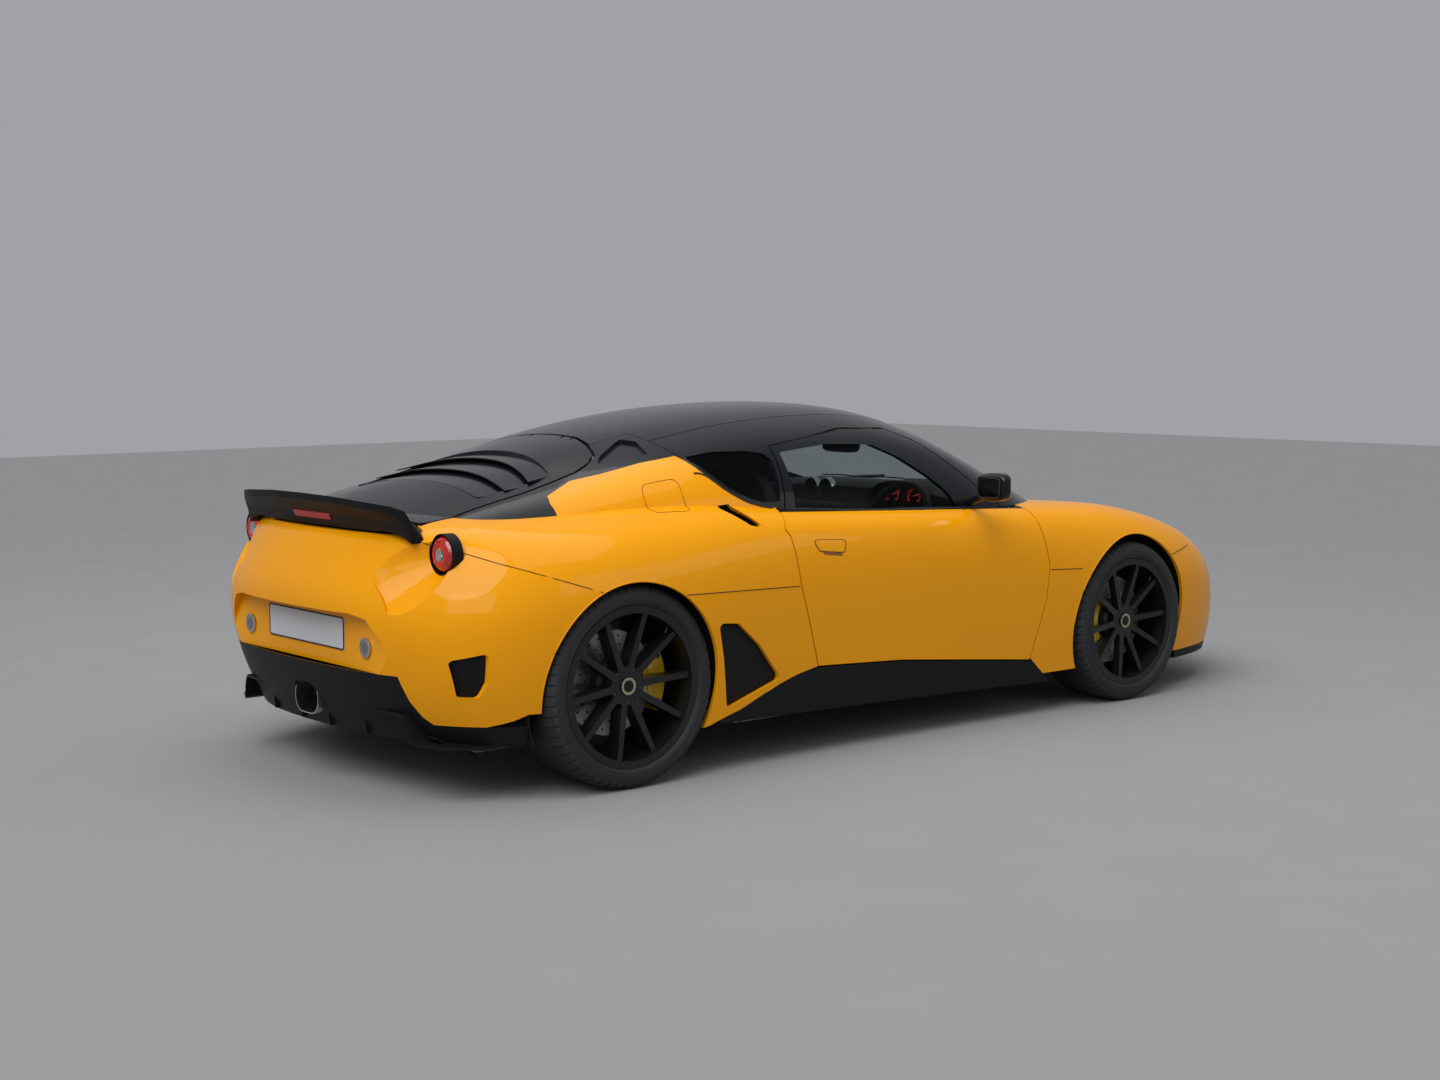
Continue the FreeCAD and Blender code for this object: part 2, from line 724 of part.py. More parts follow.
def diffuser_fin(y, rear_low):
    points = [(rear_x(-452), floor_height + 20), (rear_low + 130, 172), (rear_low + 8, 190),
              (rear_low, 279), (rear_x(-452), 279)]
    return side_prism(points, y - 3, y + 3)


def rear_diffuser():
    band = lower_skin().common(end_prism(diffuser_points(), -far, rear_x(-300)))
    band = biggest(band.common(box(-far, rear_x(-385), 0, out, 182, 500)))
    blade = end_prism(blade_points(), tail_x + 85, rear_x(-452)).common(
        plan_prism([(tail_x + 95, 0), (tail_x + 105, 400), (tail_x + 125, 560), (tail_x + 190, 700),
                    (tail_x + 290, 760), (rear_x(-452), 760), (rear_x(-452), 0)], 0, 500))
    ramp_points = [(rear_x(-450), floor_height), (tail_x + 190, 205), (tail_x + 190, 213),
                   (rear_x(-450), floor_height + 12)]
    ramp = side_prism(ramp_points, 0, 640)
    fins = [diffuser_fin(y, rear) for y, rear in ((96, tail_x + 96), (317, tail_x + 110))]
    form = biggest(fused([band, blade, ramp] + fins))
    form = form.cut(well_cut(False))
    return whole(form.cut(exhaust_form(0.3, tail_x - 200, rear_x(-300))))


def exhaust_form(grow, x0, x1):
    y = exhaust_half_width + grow
    z = exhaust_half_height + grow
    corners = [(-y, exhaust_height - z), (y, exhaust_height - z), (y, exhaust_height + z), (-y, exhaust_height + z)]
    return end_prism(corners, x0, x1, z - 1)


def exhaust():
    rear = tail_x + 72
    return exhaust_form(0, rear, rear_x(-450.3)).cut(exhaust_form(-4, rear, rear + 230))


# greenhouse

def pillar_seam(grow=0.0):
    return plan_prism(grown([(rear_x(430), 290), (rear_x(430), out), (-far, out), (-far, 290)], grow), 500, 1500)


def roof():
    form = upper_skin()
    form = form.cut(plan_prism(screen_outline(), 600, 1400, 20))
    form = form.cut(side_prism(grown(frame_outline(), shut_gap)))
    form = form.cut(side_prism(quarter_glass_outline(), 0, out, 12))
    form = form.cut(side_prism(quarter_outline()))
    form = form.cut(plan_prism(grown(hatch_outline(), tailgate_gap), 600, 1400, 46))
    form = form.cut(pillar_seam(1.5))
    groove = canopy_form().cut(canopy_form(6.0)).common(box(rear_x(300), front_x(-1000), 422, 427, 900, 1400))
    hinge = hinge_parts(tailgate_pivot, tailgate_hinge_span, 40)
    return whole(biggest(fused([biggest(form.cut(groove))] + hinge)))


def rear_pillars():
    form = upper_skin().common(pillar_seam(-1.5))
    form = form.cut(side_prism(quarter_glass_outline(), 0, out, 12))
    form = form.cut(side_prism(quarter_outline()))
    form = form.cut(plan_prism(grown(hatch_outline(), shut_gap + 6), 600, 1400, 46))
    form = form.cut(spoiler_cutout())
    scoop = [(rear_x(372), 330), (rear_x(396), 390), (rear_x(352), 520), (rear_x(172), 462), (rear_x(225), 410)]
    form = form.cut(canopy_form().cut(canopy_form(12.0)).common(plan_prism(scoop, 900, 1400, 10)))
    return pair(biggest(form))


def fixed_glass():
    layer = canopy_form(3.0).cut(canopy_form(3.0 + glass_thickness)).cut(body_form())
    screen = whole(biggest(layer.common(plan_prism(screen_outline(), 600, 1400, 20))))
    quarter = pair(biggest(layer.common(side_prism(quarter_glass_outline(), 0, out, 12))))
    return Part.makeCompound(screen.Solids + quarter.Solids)


def louvre_outline():
    return [(rear_x(150), past), (rear_x(120), 200), (rear_x(60), 372), (rear_x(10), 405),
            (rear_x(-90), 420), (rear_x(-180), 412), (rear_x(-270), 385), (rear_x(-255), 150), (rear_x(-250), past)]


slit_lines = [(84.0, 1150.0), (-3.0, 1150.0), (-132.0, 1900.0), (-248.0, 2600.0)]


def behind_slit(number, forward=0.0):
    distance, radius = slit_lines[number]
    front = rear_x(distance) + forward
    return Part.makeCylinder(radius, 900, Vec(front - radius, 0, 500))


def tailgate():
    shell = full_form().cut(full_form(roof_skin)).common(plan_prism(hatch_outline(), 600, 1400, 40))
    window = plan_prism(louvre_outline(), 600, 1400, 30)
    frame = biggest(shell.cut(window.common(behind_slit(0))))
    slats = [slat(number) for number in range(3)]
    form = biggest(fused([frame] + slats))
    return whole(biggest(form.cut(hinge_room(tailgate_pivot, tailgate_hinge_span, 40))))


def slat(number):
    overlap = 16.0
    strip = canopy_form(1.0).cut(canopy_form(5.0))
    piece = strip.common(behind_slit(number, overlap)).cut(behind_slit(number + 1))
    piece = biggest(piece.common(plan_prism(grown(louvre_outline(), 14), 600, 1400, 30)))
    rear_edge = rear_x(slit_lines[number + 1][0])
    top = Part.makeLine(Vec(rear_edge + 5, 5, 500), Vec(rear_edge + 5, 5, 1400)).common(piece).BoundBox.ZMax
    piece.rotate(Vec(rear_edge, 0, top), Vec(0, 1, 0), 7.0)
    return biggest(piece.cut(canopy_form(roof_skin)))


def hatch_glass():
    layer = canopy_form(roof_skin).cut(canopy_form(roof_skin + glass_thickness))
    return whole(biggest(layer.common(plan_prism(grown(louvre_outline(), 15), 600, 1400, 30))))


def spoiler_section(y, shift, top, low, short):
    lip = tail_x + 62 + shift
    seat = tail_x + tailgate_end_from_tail - short
    deck = Part.makeLine(Vec(seat, y, 500), Vec(seat, y, 1200)).common(full_form()).BoundBox.ZMax
    low = min(low, deck - 12)
    depth = (seat - lip) / 193
    points = [(lip, top), (lip + 2, top - 22), (lip + 42 * depth, (top + low) / 2 - 12), (lip + 62 * depth, low),
              (seat, low), (seat, deck - 0.5), (lip + 90 * depth, (top + deck) / 2 - 4)]
    return Part.makePolygon([Vec(x, y, z) for x, z in points + points[:1]])


def spoiler():
    rows = [(0, 0, 976, 864, 0), (200, 4, 974, 864, 0), (380, 20, 965, 865, 0), (440, 32, 961, 868, 12),
            (510, 54, 954, 874, 30), (556, 76, 941, 882, 48)]
    wing = Part.makeLoft([spoiler_section(*row) for row in rows], True, True)
    seat = end_prism([(past, 863), (440, 863), (520, 873), (570, 887), (570, 1100), (past, 1100)], -far, far)
    return whole(biggest(wing.cut(full_form().cut(seat))))


# doors

def door_panel():
    outer = lower_skin(0.0, 26.0).common(side_prism(door_outline(), 600, out))
    inner = body_form(20.0).common(side_prism(grown(door_outline(), -24), door_wall_y, out))
    form = fused([biggest(outer), biggest(inner)])
    pillar_foot = box(front_x(-700), front_x(-540), 0, 786, 825, 900)
    return biggest(form.cut(box(-far, far, 0, door_wall_y, 0, 2000)).cut(pillar_foot))


def door_frame():
    form = upper_skin().common(side_prism(frame_outline(), 0, out))
    form = form.cut(side_prism(door_glass_outline(), 0, out, 14))
    form = form.common(box(rear_x(700), far, 500, out, 700, 1300))
    form = form.cut(body_form())
    return fused([biggest(form), mirror()])


def door_glass():
    layer = canopy_form(6.0).cut(canopy_form(6.0 + glass_thickness)).cut(body_form())
    return biggest(layer.common(side_prism(door_glass_outline(), 0, out, 14)))


def mirror():
    centre = Vec(front_x(-905), 945, 928)
    rings = []
    for y, front, back, low, high in ((-72, 14, 16, -24, 24), (-55, 32, 26, -44, 42), (0, 48, 27, -56, 52),
                                      (50, 38, 22, -46, 46), (72, 10, 14, -26, 26)):
        corners = [Vec(centre.x - back, centre.y + y, centre.z + low), Vec(centre.x + front, centre.y + y, centre.z + low),
                   Vec(centre.x + front, centre.y + y, centre.z + high), Vec(centre.x - back, centre.y + y, centre.z + high)]
        rings.append(rounded_wire(corners, min(front + back, high - low) * 0.32))
    pod = Part.makeLoft(rings, True)
    stalk = rod(Vec(front_x(-860), 760, 850), Vec(front_x(-895), 905, 895), 15)
    stalk = stalk.cut(canopy_form()).cut(body_form())
    return fused([pod, biggest(stalk)])


# structure

def chassis_tub():
    wall = 20.0
    top = floor_height + floor_thickness
    front_wall_x = front_x(firewall_x_from_axle)
    rear_wall_x = rear_x(bulkhead_x_from_axle)
    inside = body_form(skin)
    shelter = fused([body_form(skin), canopy_form(roof_skin)])
    pieces = [box(rear_wall_x, front_wall_x, 0, 620, floor_height, top)]
    pieces.append(box(rear_wall_x, front_wall_x, 600, door_wall_y, floor_height + 5, 300).common(
        side_prism(grown(sill_outline(), 60))))
    pieces.append(box(front_wall_x, front_wall_x + wall, 0, door_wall_y, floor_height, 1000).common(inside))
    pieces.append(box(rear_wall_x - wall, rear_wall_x, 0, door_wall_y - 20, floor_height, 870).common(shelter))
    pieces.append(box(front_wall_x, front_x(600), 0, front_bay_half, floor_height, top))
    pieces.append(box(front_wall_x, front_x(600), front_bay_half - wall, front_bay_half, floor_height, 735)
                  .common(inside))
    pieces.append(box(front_x(580), front_x(600), 0, front_bay_half, floor_height, 600).common(inside))
    pieces.append(box(front_wall_x, front_x(590), 0, front_bay_half - 5, 520, 530))
    pieces.append(box(rear_x(-430), rear_wall_x, 0, rear_bay_half, floor_height, top))
    pieces.append(box(rear_x(-430), rear_wall_x, rear_bay_half - wall, rear_bay_half, floor_height, 735))
    pieces.append(box(rear_x(-450), rear_x(-430), 0, rear_bay_half, floor_height, 700))
    for x in (front_x(-520), rear_x(640)):
        pieces.append(rod(Vec(x, jack_pad_y, floor_height - jack_pad_depth),
                          Vec(x, jack_pad_y, floor_height + 5), jack_pad_radius))
    return whole(fused(pieces).cut(well_cut(True)).cut(well_cut(False)))


def wheel_liners():
    liners = []
    for front in (True, False):
        x = front_axle_x if front else rear_axle_x
        z = front_tyre_radius if front else rear_tyre_radius
        radius = front_well_radius if front else rear_well_radius
        inner = front_bay_half if front else rear_bay_half
        ring = rod(Vec(x, inner, z), Vec(x, out, z), radius + liner)
        ring = ring.cut(rod(Vec(x, 0, z), Vec(x, out, z), radius))
        ring = ring.common(body_form(skin)).common(box(-far, far, 0, out, floor_height + 45, 1000))
        ring = ring.cut(side_prism(sill_outline()))
        liners.append(biggest(ring))
    return Part.makeCompound([s for part in liners for s in pair(part).Solids])


def engine_block():
    return box(rear_x(-80), rear_x(480), -330, 330, floor_height + floor_thickness, 760)


# suspension

def arm(inner_points, outer_point, thickness=14.0):
    legs = [rod(point, outer_point, thickness) for point in inner_points]
    ball = Part.makeSphere(ball_radius + 8, outer_point)
    return fused(legs + [ball])


def wishbones():
    z = front_tyre_radius
    x = front_axle_x
    lower = arm([Vec(x - 150, front_bay_half, z - ball_offset + 10), Vec(x + 150, front_bay_half, z - ball_offset + 10)],
                Vec(x, kingpin_y, z - ball_offset))
    upper = arm([Vec(x - 110, front_bay_half, z + ball_offset + 20), Vec(x + 110, front_bay_half, z + ball_offset + 20)],
                Vec(x, kingpin_y, z + ball_offset), 11.0)
    hole = rod(Vec(x, kingpin_y, 0), Vec(x, kingpin_y, 800), 9 + running_gap)
    trim = box(-far, far, 0, front_bay_half, 0, 1000)
    lower = lower.cut(hole).cut(trim)
    upper = upper.cut(hole).cut(trim)
    return Part.makeCompound(pair(biggest(lower)).Solids + pair(biggest(upper)).Solids)


def knuckle():
    x = front_axle_x
    z = front_tyre_radius
    low = z - ball_offset
    high = z + ball_offset
    pin = rod(Vec(x, kingpin_y, low - 26), Vec(x, kingpin_y, high + 26), 9)
    carrier = rod(Vec(x, kingpin_y - 35, z), Vec(x, front_wheel_y - 30, z), 52)
    post = box(x - 24, x + 24, kingpin_y - 20, kingpin_y + 20, low + 30, high - 30)
    spindle = rod(Vec(x, front_wheel_y - 40, z), Vec(x, front_wheel_y + 66, z), spindle_radius)
    steering_arm = rod(Vec(x, kingpin_y - 10, z - 50), Vec(x + 120, kingpin_y - 45, z - 60), 11)
    return fused([pin, carrier, post, spindle, steering_arm])


def caliper(front):
    x = front_axle_x if front else rear_axle_x
    z = front_tyre_radius if front else rear_tyre_radius
    y = front_wheel_y if front else rear_wheel_y
    side = -1 if front else 1
    ring = rod(Vec(x, y - 55, z), Vec(x, y + 35, z), 208)
    ring = ring.cut(rod(Vec(x, y - 60, z), Vec(x, y + 60, z), 118))
    slot = rod(Vec(x, y - 10 - disc_thickness / 2 - 6, z), Vec(x, y - 10 + disc_thickness / 2 + 6, z), disc_radius + 7)
    wedge = side_prism([(x, z), (x + side * 300, z + 190), (x + side * 300, z - 190)], y - 60, y + 60)
    form = biggest(ring.cut(slot).common(wedge))
    bracket = rod(Vec(x + side * 20, y - 62, z), Vec(x + side * 150, y - 50, z), 16)
    bracket = bracket.cut(slot)
    return form, biggest(bracket.cut(form))


def rear_suspension():
    x = rear_axle_x
    z = rear_tyre_radius
    y = rear_wheel_y
    carrier = rod(Vec(x, y - 110, z), Vec(x, y - 30, z), 52)
    post = box(x - 25, x + 25, y - 100, y - 60, z - 130, z + 130)
    spindle = rod(Vec(x, y - 40, z), Vec(x, y + 92, z), spindle_radius)
    arms = []
    for height in (-115, 115):
        for reach in (-140, 140):
            arms.append(rod(Vec(x + reach, rear_bay_half, z + height + 10), Vec(x, y - 80, z + height), 13))
    shaft = rod(Vec(x, rear_bay_half, z), Vec(x, y - 100, z), 18)
    form = fused([carrier, post, spindle, shaft] + arms + [caliper(False)[1]])
    form = form.cut(box(-far, far, 0, rear_bay_half, 0, 1000))
    return pair(biggest(form))


# wheels

def tyre(radius, width, edge):
    half = width / 2
    seat = edge - flange_height
    bead = [Vec(seat, half - 18, 0), Vec(edge + 0.5, half - 16.3, 0), Vec(edge + 4, half - 8, 0)]
    wall = [bead[-1], Vec((edge + radius) / 2, half - 0.5, 0), Vec(radius - 22, half - 7, 0),
            Vec(radius - 6, half - 24, 0), Vec(radius, half - 60, 0)]
    curve = Part.BSplineCurve()
    curve.interpolate(wall, InitialTangent=Vec(1, 0.35, 0), FinalTangent=Vec(0, -1, 0))
    half_edges = [Part.makeLine(bead[0], bead[1]), Part.makeLine(bead[1], bead[2]), curve.toShape()]
    edges = half_edges + [flipped(edge) for edge in half_edges]
    edges += [Part.makeLine(wall[-1], Vec(radius, 60 - half, 0)), Part.makeLine(Vec(seat, 18 - half, 0), bead[0])]
    face = Part.Face(Part.Wire(Part.__sortEdges__(edges)))
    return face.revolve(Vec(0, 0, 0), Vec(0, 1, 0), 360)


def turned(points):
    wire = Part.makePolygon([Vec(r, y, 0) for r, y in points] + [Vec(points[0][0], points[0][1], 0)])
    return Part.Face(wire).revolve(Vec(0, 0, 0), Vec(0, 1, 0), 360)


def rim(width, edge):
    half = width / 2 - 12
    seat = width / 2 - 14
    face_y = half - 12
    barrel_radius = edge - flange_height
    inside = barrel_radius - barrel_wall
    tip = inside + 3
    barrel = turned([(inside, half), (edge, half), (edge, seat - 1.5), (barrel_radius, seat - 3),
                     (barrel_radius, -seat + 3), (edge, -seat + 1.5), (edge, -half), (inside, -half)])
    envelope = turned([(0, 45), (62, 45), (tip - 35, 62), (tip, 66), (tip, face_y), (tip - 35, face_y - 4),
                       (62, face_y - 22), (0, face_y - 22)])
    spokes = []
    for number in range(spoke_pairs):
        for side in (-1, 1):
            turn = spoke_turn + number * 360.0 / spoke_pairs + side * spoke_spread
            bar = Part.Face(Part.makePolygon([Vec(30, -100, -13), Vec(edge - 6, -100, -9), Vec(edge - 6, -100, 9),
                                              Vec(30, -100, 13), Vec(30, -100, -13)])).extrude(Vec(0, 300, 0))
            bar.rotate(Vec(0, 0, 0), Vec(0, 1, 0), turn)
            spokes.append(bar)
    star = fused(spokes + [rod(Vec(0, -100, 0), Vec(0, 200, 0), 66)]).common(envelope)
    form = fused([barrel, star])
    form = form.cut(rod(Vec(0, -200, 0), Vec(0, face_y - 30, 0), spindle_radius + running_gap))
    for number in range(lug_count):
        turn = math.radians(number * 360.0 / lug_count - spoke_turn)
        spot = Vec(lug_circle * math.cos(turn), face_y - 34, lug_circle * math.sin(turn))
        form = form.cut(rod(spot, spot + Vec(0, 40, 0), 7.5))
    return biggest(form)


def disc():
    rotor = rod(Vec(0, -10 - disc_thickness / 2, 0), Vec(0, -10 + disc_thickness / 2, 0), disc_radius)
    rotor = rotor.cut(rod(Vec(0, -60, 0), Vec(0, 60, 0), 84))
    hat = rod(Vec(0, -10, 0), Vec(0, 45, 0), 88).cut(rod(Vec(0, -20, 0), Vec(0, 37, 0), 80))
    form = fused([rotor, hat]).cut(rod(Vec(0, -60, 0), Vec(0, 60, 0), spindle_radius + running_gap))
    return form


def placed_wheel(shape, front, left):
    x = front_axle_x if front else rear_axle_x
    y = front_wheel_y if front else rear_wheel_y
    z = front_tyre_radius if front else rear_tyre_radius
    moved = shape.copy()
    moved.translate(Vec(x, y, z))
    return moved if left else flipped(moved)


# cabin

def seats():
    x = rear_x(1010)
    y = 370.0
    cushion = box(x, x + 480, y - 225, y + 225, floor_height + floor_thickness, 360)
    cushion = cushion.makeFillet(40, [e for e in cushion.Edges if e.BoundBox.ZMin > 350])
    back_points = [(x - 20, 330), (x + 90, 350), (x - 90, 1010), (x - 160, 1010)]
    back = side_prism(back_points, y - 220, y + 220)
    return pair(fused([cushion, back]))


def dashboard():
    wall = front_x(firewall_x_from_axle)
    points = [(wall, 450), (wall, 800), (wall - 120, 850), (wall - 330, 790), (wall - 350, 700), (wall - 260, 560),
              (wall - 260, 450)]
    desk = side_prism(points, 0, 700, 20)
    tunnel = side_prism([(rear_x(900), 165), (rear_x(900), 360), (front_x(-800), 420), (wall - 200, 520), (wall - 200, 165)],
                        0, 110, 10)
    inside = full_form(roof_skin + 12)
    return whole(biggest(fused([desk, tunnel]).common(inside)))


def steering_wheel():
    centre = Vec(front_x(-850), -370, 745)
    ring = Part.makeTorus(168, 14, Vec(0, 0, 0), Vec(1, 0, 0))
    hub = rod(Vec(-18, 0, 0), Vec(24, 0, 0), 45)
    spokes = [rod(Vec(0, 0, 0), Vec(0, 160, 0), 9), rod(Vec(0, 0, 0), Vec(0, -160, 0), 9), rod(Vec(0, 0, 0), Vec(0, 0, -160), 9)]
    form = fused([ring, hub] + spokes)
    form.rotate(Vec(0, 0, 0), Vec(0, 1, 0), 22)
    form.translate(centre)
    column = rod(centre, centre + Vec(0.927, 0, -0.375) * 120, 22)
    return fused([form, column]).cut(dashboard())


def build_all():
    parts = {
        "chassis_tub": chassis_tub(),
        "wheel_liners": wheel_liners(),
        "front_clam": front_clam(),
        "bonnet": bonnet(),
        "headlamps": headlamps(),
        "front_grille": front_grille(),
        "front_splitter": front_splitter(),
        "quarter_panels": quarter_panels(),
        "side_pods": side_pods(),
        "side_vents": side_vents(),
        "sills": sills(),
        "tail_lamps": tail_lamps(),
        "lamp_bezels": lamp_bezels(),
        "reversing_lamps": reversing_lamps(),
        "rear_bumper": rear_bumper(),
        "number_plate": number_plate(),
        "rear_diffuser": rear_diffuser(),
        "exhaust": exhaust(),
        "roof": roof(),
        "rear_pillars": rear_pillars(),
        "fixed_glass": fixed_glass(),
        "tailgate": tailgate(),
        "hatch_glass": hatch_glass(),
        "spoiler": spoiler(),
        "engine_block": engine_block(),
        "front_wishbones": wishbones(),
        "rear_suspension": rear_suspension(),
        "rear_calipers": pair(caliper(False)[0]),
        "seats": seats(),
        "dashboard": dashboard(),
        "steering_wheel": steering_wheel(),
    }
    for name, make in (("door_panel", door_panel), ("door_frame", door_frame), ("door_glass", door_glass)):
        shape = make()
        parts[name + "_left"] = shape
        parts[name + "_right"] = flipped(shape)
    upright = knuckle().fuse(caliper(True)[1])
    parts["knuckle_left"] = upright
    parts["knuckle_right"] = flipped(upright)
    parts["front_caliper_left"] = caliper(True)[0]
    parts["front_caliper_right"] = flipped(caliper(True)[0])
    for front in (True, False):
        radius = front_tyre_radius if front else rear_tyre_radius
        width = front_tyre_width if front else rear_tyre_width
        place = "front" if front else "rear"
        edge = front_rim_radius if front else rear_rim_radius
        ring, star, brake = tyre(radius, width, edge), rim(width, edge), disc()
        for left in (True, False):
            ending = "_" + place + ("_left" if left else "_right")
            parts["tyre" + ending] = placed_wheel(ring, front, left)
            parts["rim" + ending] = placed_wheel(star, front, left)
            parts["disc" + ending] = placed_wheel(brake, front, left)
    return parts


os.makedirs("parts", exist_ok=True)
for name, shape in build_all().items():
    shape.exportStep("parts/" + name + ".step")
    size = shape.BoundBox
    print(name, len(shape.Solids), shape.isValid(), round(shape.Volume / 1e6, 2),
          [round(v) for v in (size.XMin, size.XMax, size.YMin, size.YMax, size.ZMin, size.ZMax)])
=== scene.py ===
import json
from math import acos, atan2, copysign, cos, hypot, pi, radians, sin, sqrt, tan

import bpy
from mathutils import Matrix, Vector
from mathutils.bvhtree import BVHTree


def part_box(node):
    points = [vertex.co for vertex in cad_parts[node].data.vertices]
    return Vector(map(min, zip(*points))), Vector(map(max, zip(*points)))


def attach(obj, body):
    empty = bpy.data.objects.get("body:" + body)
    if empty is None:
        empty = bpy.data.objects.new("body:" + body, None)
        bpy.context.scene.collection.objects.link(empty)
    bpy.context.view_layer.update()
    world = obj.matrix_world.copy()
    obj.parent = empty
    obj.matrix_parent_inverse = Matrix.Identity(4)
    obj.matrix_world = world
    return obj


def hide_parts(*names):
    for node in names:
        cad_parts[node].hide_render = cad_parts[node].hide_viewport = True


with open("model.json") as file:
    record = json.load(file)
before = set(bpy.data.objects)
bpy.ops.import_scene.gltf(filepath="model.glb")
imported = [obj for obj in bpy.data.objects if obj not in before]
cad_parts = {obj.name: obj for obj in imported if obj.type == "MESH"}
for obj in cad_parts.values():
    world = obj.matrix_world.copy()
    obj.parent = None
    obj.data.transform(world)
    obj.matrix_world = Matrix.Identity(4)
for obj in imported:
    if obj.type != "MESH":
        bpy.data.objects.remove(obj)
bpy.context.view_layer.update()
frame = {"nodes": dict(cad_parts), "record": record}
nodes = frame["nodes"]
print("frame loaded")

# light and dark are linear red, green, blue; rough is how matt the surface is;
# grain is the scale of its fine relief and the height in metres
finishes = {
    "bodyPaint": {"light": (0.88, 0.352, 0.0003), "dark": (0.84, 0.328, 0.0003), "rough": 0.36,
        "coat": 0.40, "shine": 0.04, "grain": (900.0, 0.000012)},
    "blackGloss": {"light": (0.0065, 0.0080, 0.0105), "dark": (0.004, 0.005, 0.0065), "rough": 0.20,
        "coat": 0.30, "shine": 0.12, "grain": (700.0, 0.000012)},
    "satinBlack": {"light": (0.0075, 0.008, 0.009), "dark": (0.005, 0.0055, 0.006), "rough": 0.50,
        "shine": 0.16, "grain": (1500.0, 0.00006)},
    "linerPlastic": {"light": (0.010, 0.010, 0.010), "dark": (0.005, 0.005, 0.005), "rough": 0.85,
        "grain": (900.0, 0.0002)},
    "wheelBlack": {"light": (0.0090, 0.0096, 0.0110), "dark": (0.0060, 0.0064, 0.0075), "rough": 0.34,
        "coat": 0.15, "shine": 0.3, "grain": (1200.0, 0.00003)},
    "rubber": {"light": (0.021, 0.023, 0.025), "dark": (0.015, 0.0165, 0.018), "rough": 0.66,
        "shine": 0.35, "grain": (700.0, 0.0001)},
    "tubAlloy": {"light": (0.30, 0.31, 0.33), "dark": (0.24, 0.25, 0.26), "rough": 0.45,
        "metal": 1.0, "grain": (300.0, 0.00005)},
    "castIron": {"light": (0.16, 0.16, 0.165), "dark": (0.10, 0.10, 0.105), "rough": 0.55,
        "metal": 1.0, "grain": (500.0, 0.0002)},
    "discIron": {"light": (0.34, 0.34, 0.35), "dark": (0.24, 0.24, 0.25), "rough": 0.34,
        "metal": 1.0, "grain": (900.0, 0.00005)},
    "brightSteel": {"light": (0.62, 0.62, 0.63), "dark": (0.52, 0.52, 0.53), "rough": 0.20,
        "metal": 1.0, "grain": (900.0, 0.00002)},
    "caliperYellow": {"light": (0.80, 0.50, 0.01), "dark": (0.72, 0.43, 0.01), "rough": 0.30,
        "coat": 0.6, "grain": (600.0, 0.00003)},
    "plateWhite": {"light": (0.56, 0.58, 0.60), "dark": (0.52, 0.54, 0.56), "rough": 0.45,
        "grain": (1200.0, 0.00002)},
    "leather": {"light": (0.018, 0.018, 0.019), "dark": (0.010, 0.010, 0.011), "rough": 0.55,
        "grain": (420.0, 0.00025)},
    "softBlack": {"light": (0.014, 0.014, 0.015), "dark": (0.008, 0.008, 0.009), "rough": 0.62,
        "grain": (900.0, 0.00015)},
    "redLens": {"light": (0.55, 0.006, 0.004), "dark": (0.34, 0.003, 0.002), "rough": 0.12,
        "coat": 1.0, "grain": (60.0, 0.0002)},
    "stitchGrey": {"light": (0.10, 0.10, 0.105), "dark": (0.07, 0.07, 0.075), "rough": 0.7,
        "grain": (1800.0, 0.0002)},
    "seamDark": {"light": (0.012, 0.008, 0.004), "dark": (0.006, 0.004, 0.002), "rough": 0.9,
        "grain": (500.0, 0.0001)},
    "darkSteel": {"light": (0.16, 0.16, 0.17), "dark": (0.10, 0.10, 0.11), "rough": 0.32,
        "metal": 1.0, "grain": (900.0, 0.00003)},
    "capGold": {"light": (0.52, 0.50, 0.30), "dark": (0.44, 0.42, 0.25), "rough": 0.30,
        "metal": 1.0, "grain": (900.0, 0.00002)},
    # painted shade: the body paint as it looks in shade, used for the door handle's finger scoop
    "paintedShadeBodyPaint": {"light": (0.30, 0.085, 0.002), "dark": (0.20, 0.055, 0.002), "rough": 0.40,
        "coat": 0.4, "grain": (900.0, 0.000012)},
    "silvered": {"light": (0.80, 0.82, 0.85), "dark": (0.74, 0.76, 0.79), "rough": 0.04,
        "metal": 1.0, "grain": (500.0, 0.000004)},
    "floorPale": {"light": (0.305, 0.310, 0.315), "dark": (0.285, 0.290, 0.295), "rough": 0.75,
        "shine": 0.2, "grain": (60.0, 0.0003)},
}
# tint is the colour that light takes as it goes through, seen is how much of it goes straight through
glasses = {
    "windowGlass": {"tint": (0.90, 0.93, 0.93), "seen": 0.93},
    "darkGlass": {"tint": (0.05, 0.055, 0.06), "seen": 0.35},
    "lampGlass": {"tint": (0.88, 0.91, 0.93), "seen": 0.86},
}
glows = {
    "redGlow": {"colour": (0.9, 0.05, 0.03), "strength": 0.9},
    "lampRed": {"colour": (0.62, 0.012, 0.010), "strength": 0.22},
    "stripRed": {"colour": (0.42, 0.020, 0.028), "strength": 0.10},
    "whiteGlow": {"colour": (0.9, 0.9, 0.85), "strength": 0.8},
}
relief = {"strength": 0.6, "roughest": 1.12, "smoothest": 0.88, "coatRough": 0.03, "clouds": 2.4}


def newMaterial(name):
    material = bpy.data.materials.new(name)
    material.use_nodes = True
    tree = material.node_tree
    place = tree.nodes.new("ShaderNodeTexCoord")
    return material, tree, tree.nodes["Principled BSDF"], place.outputs["Object"]


def addNoise(tree, place, scale, detail=2.0):
    noise = tree.nodes.new("ShaderNodeTexNoise")
    noise.inputs["Scale"].default_value = scale
    noise.inputs["Detail"].default_value = detail
    tree.links.new(place, noise.inputs["Vector"])
    return noise.outputs["Fac"]


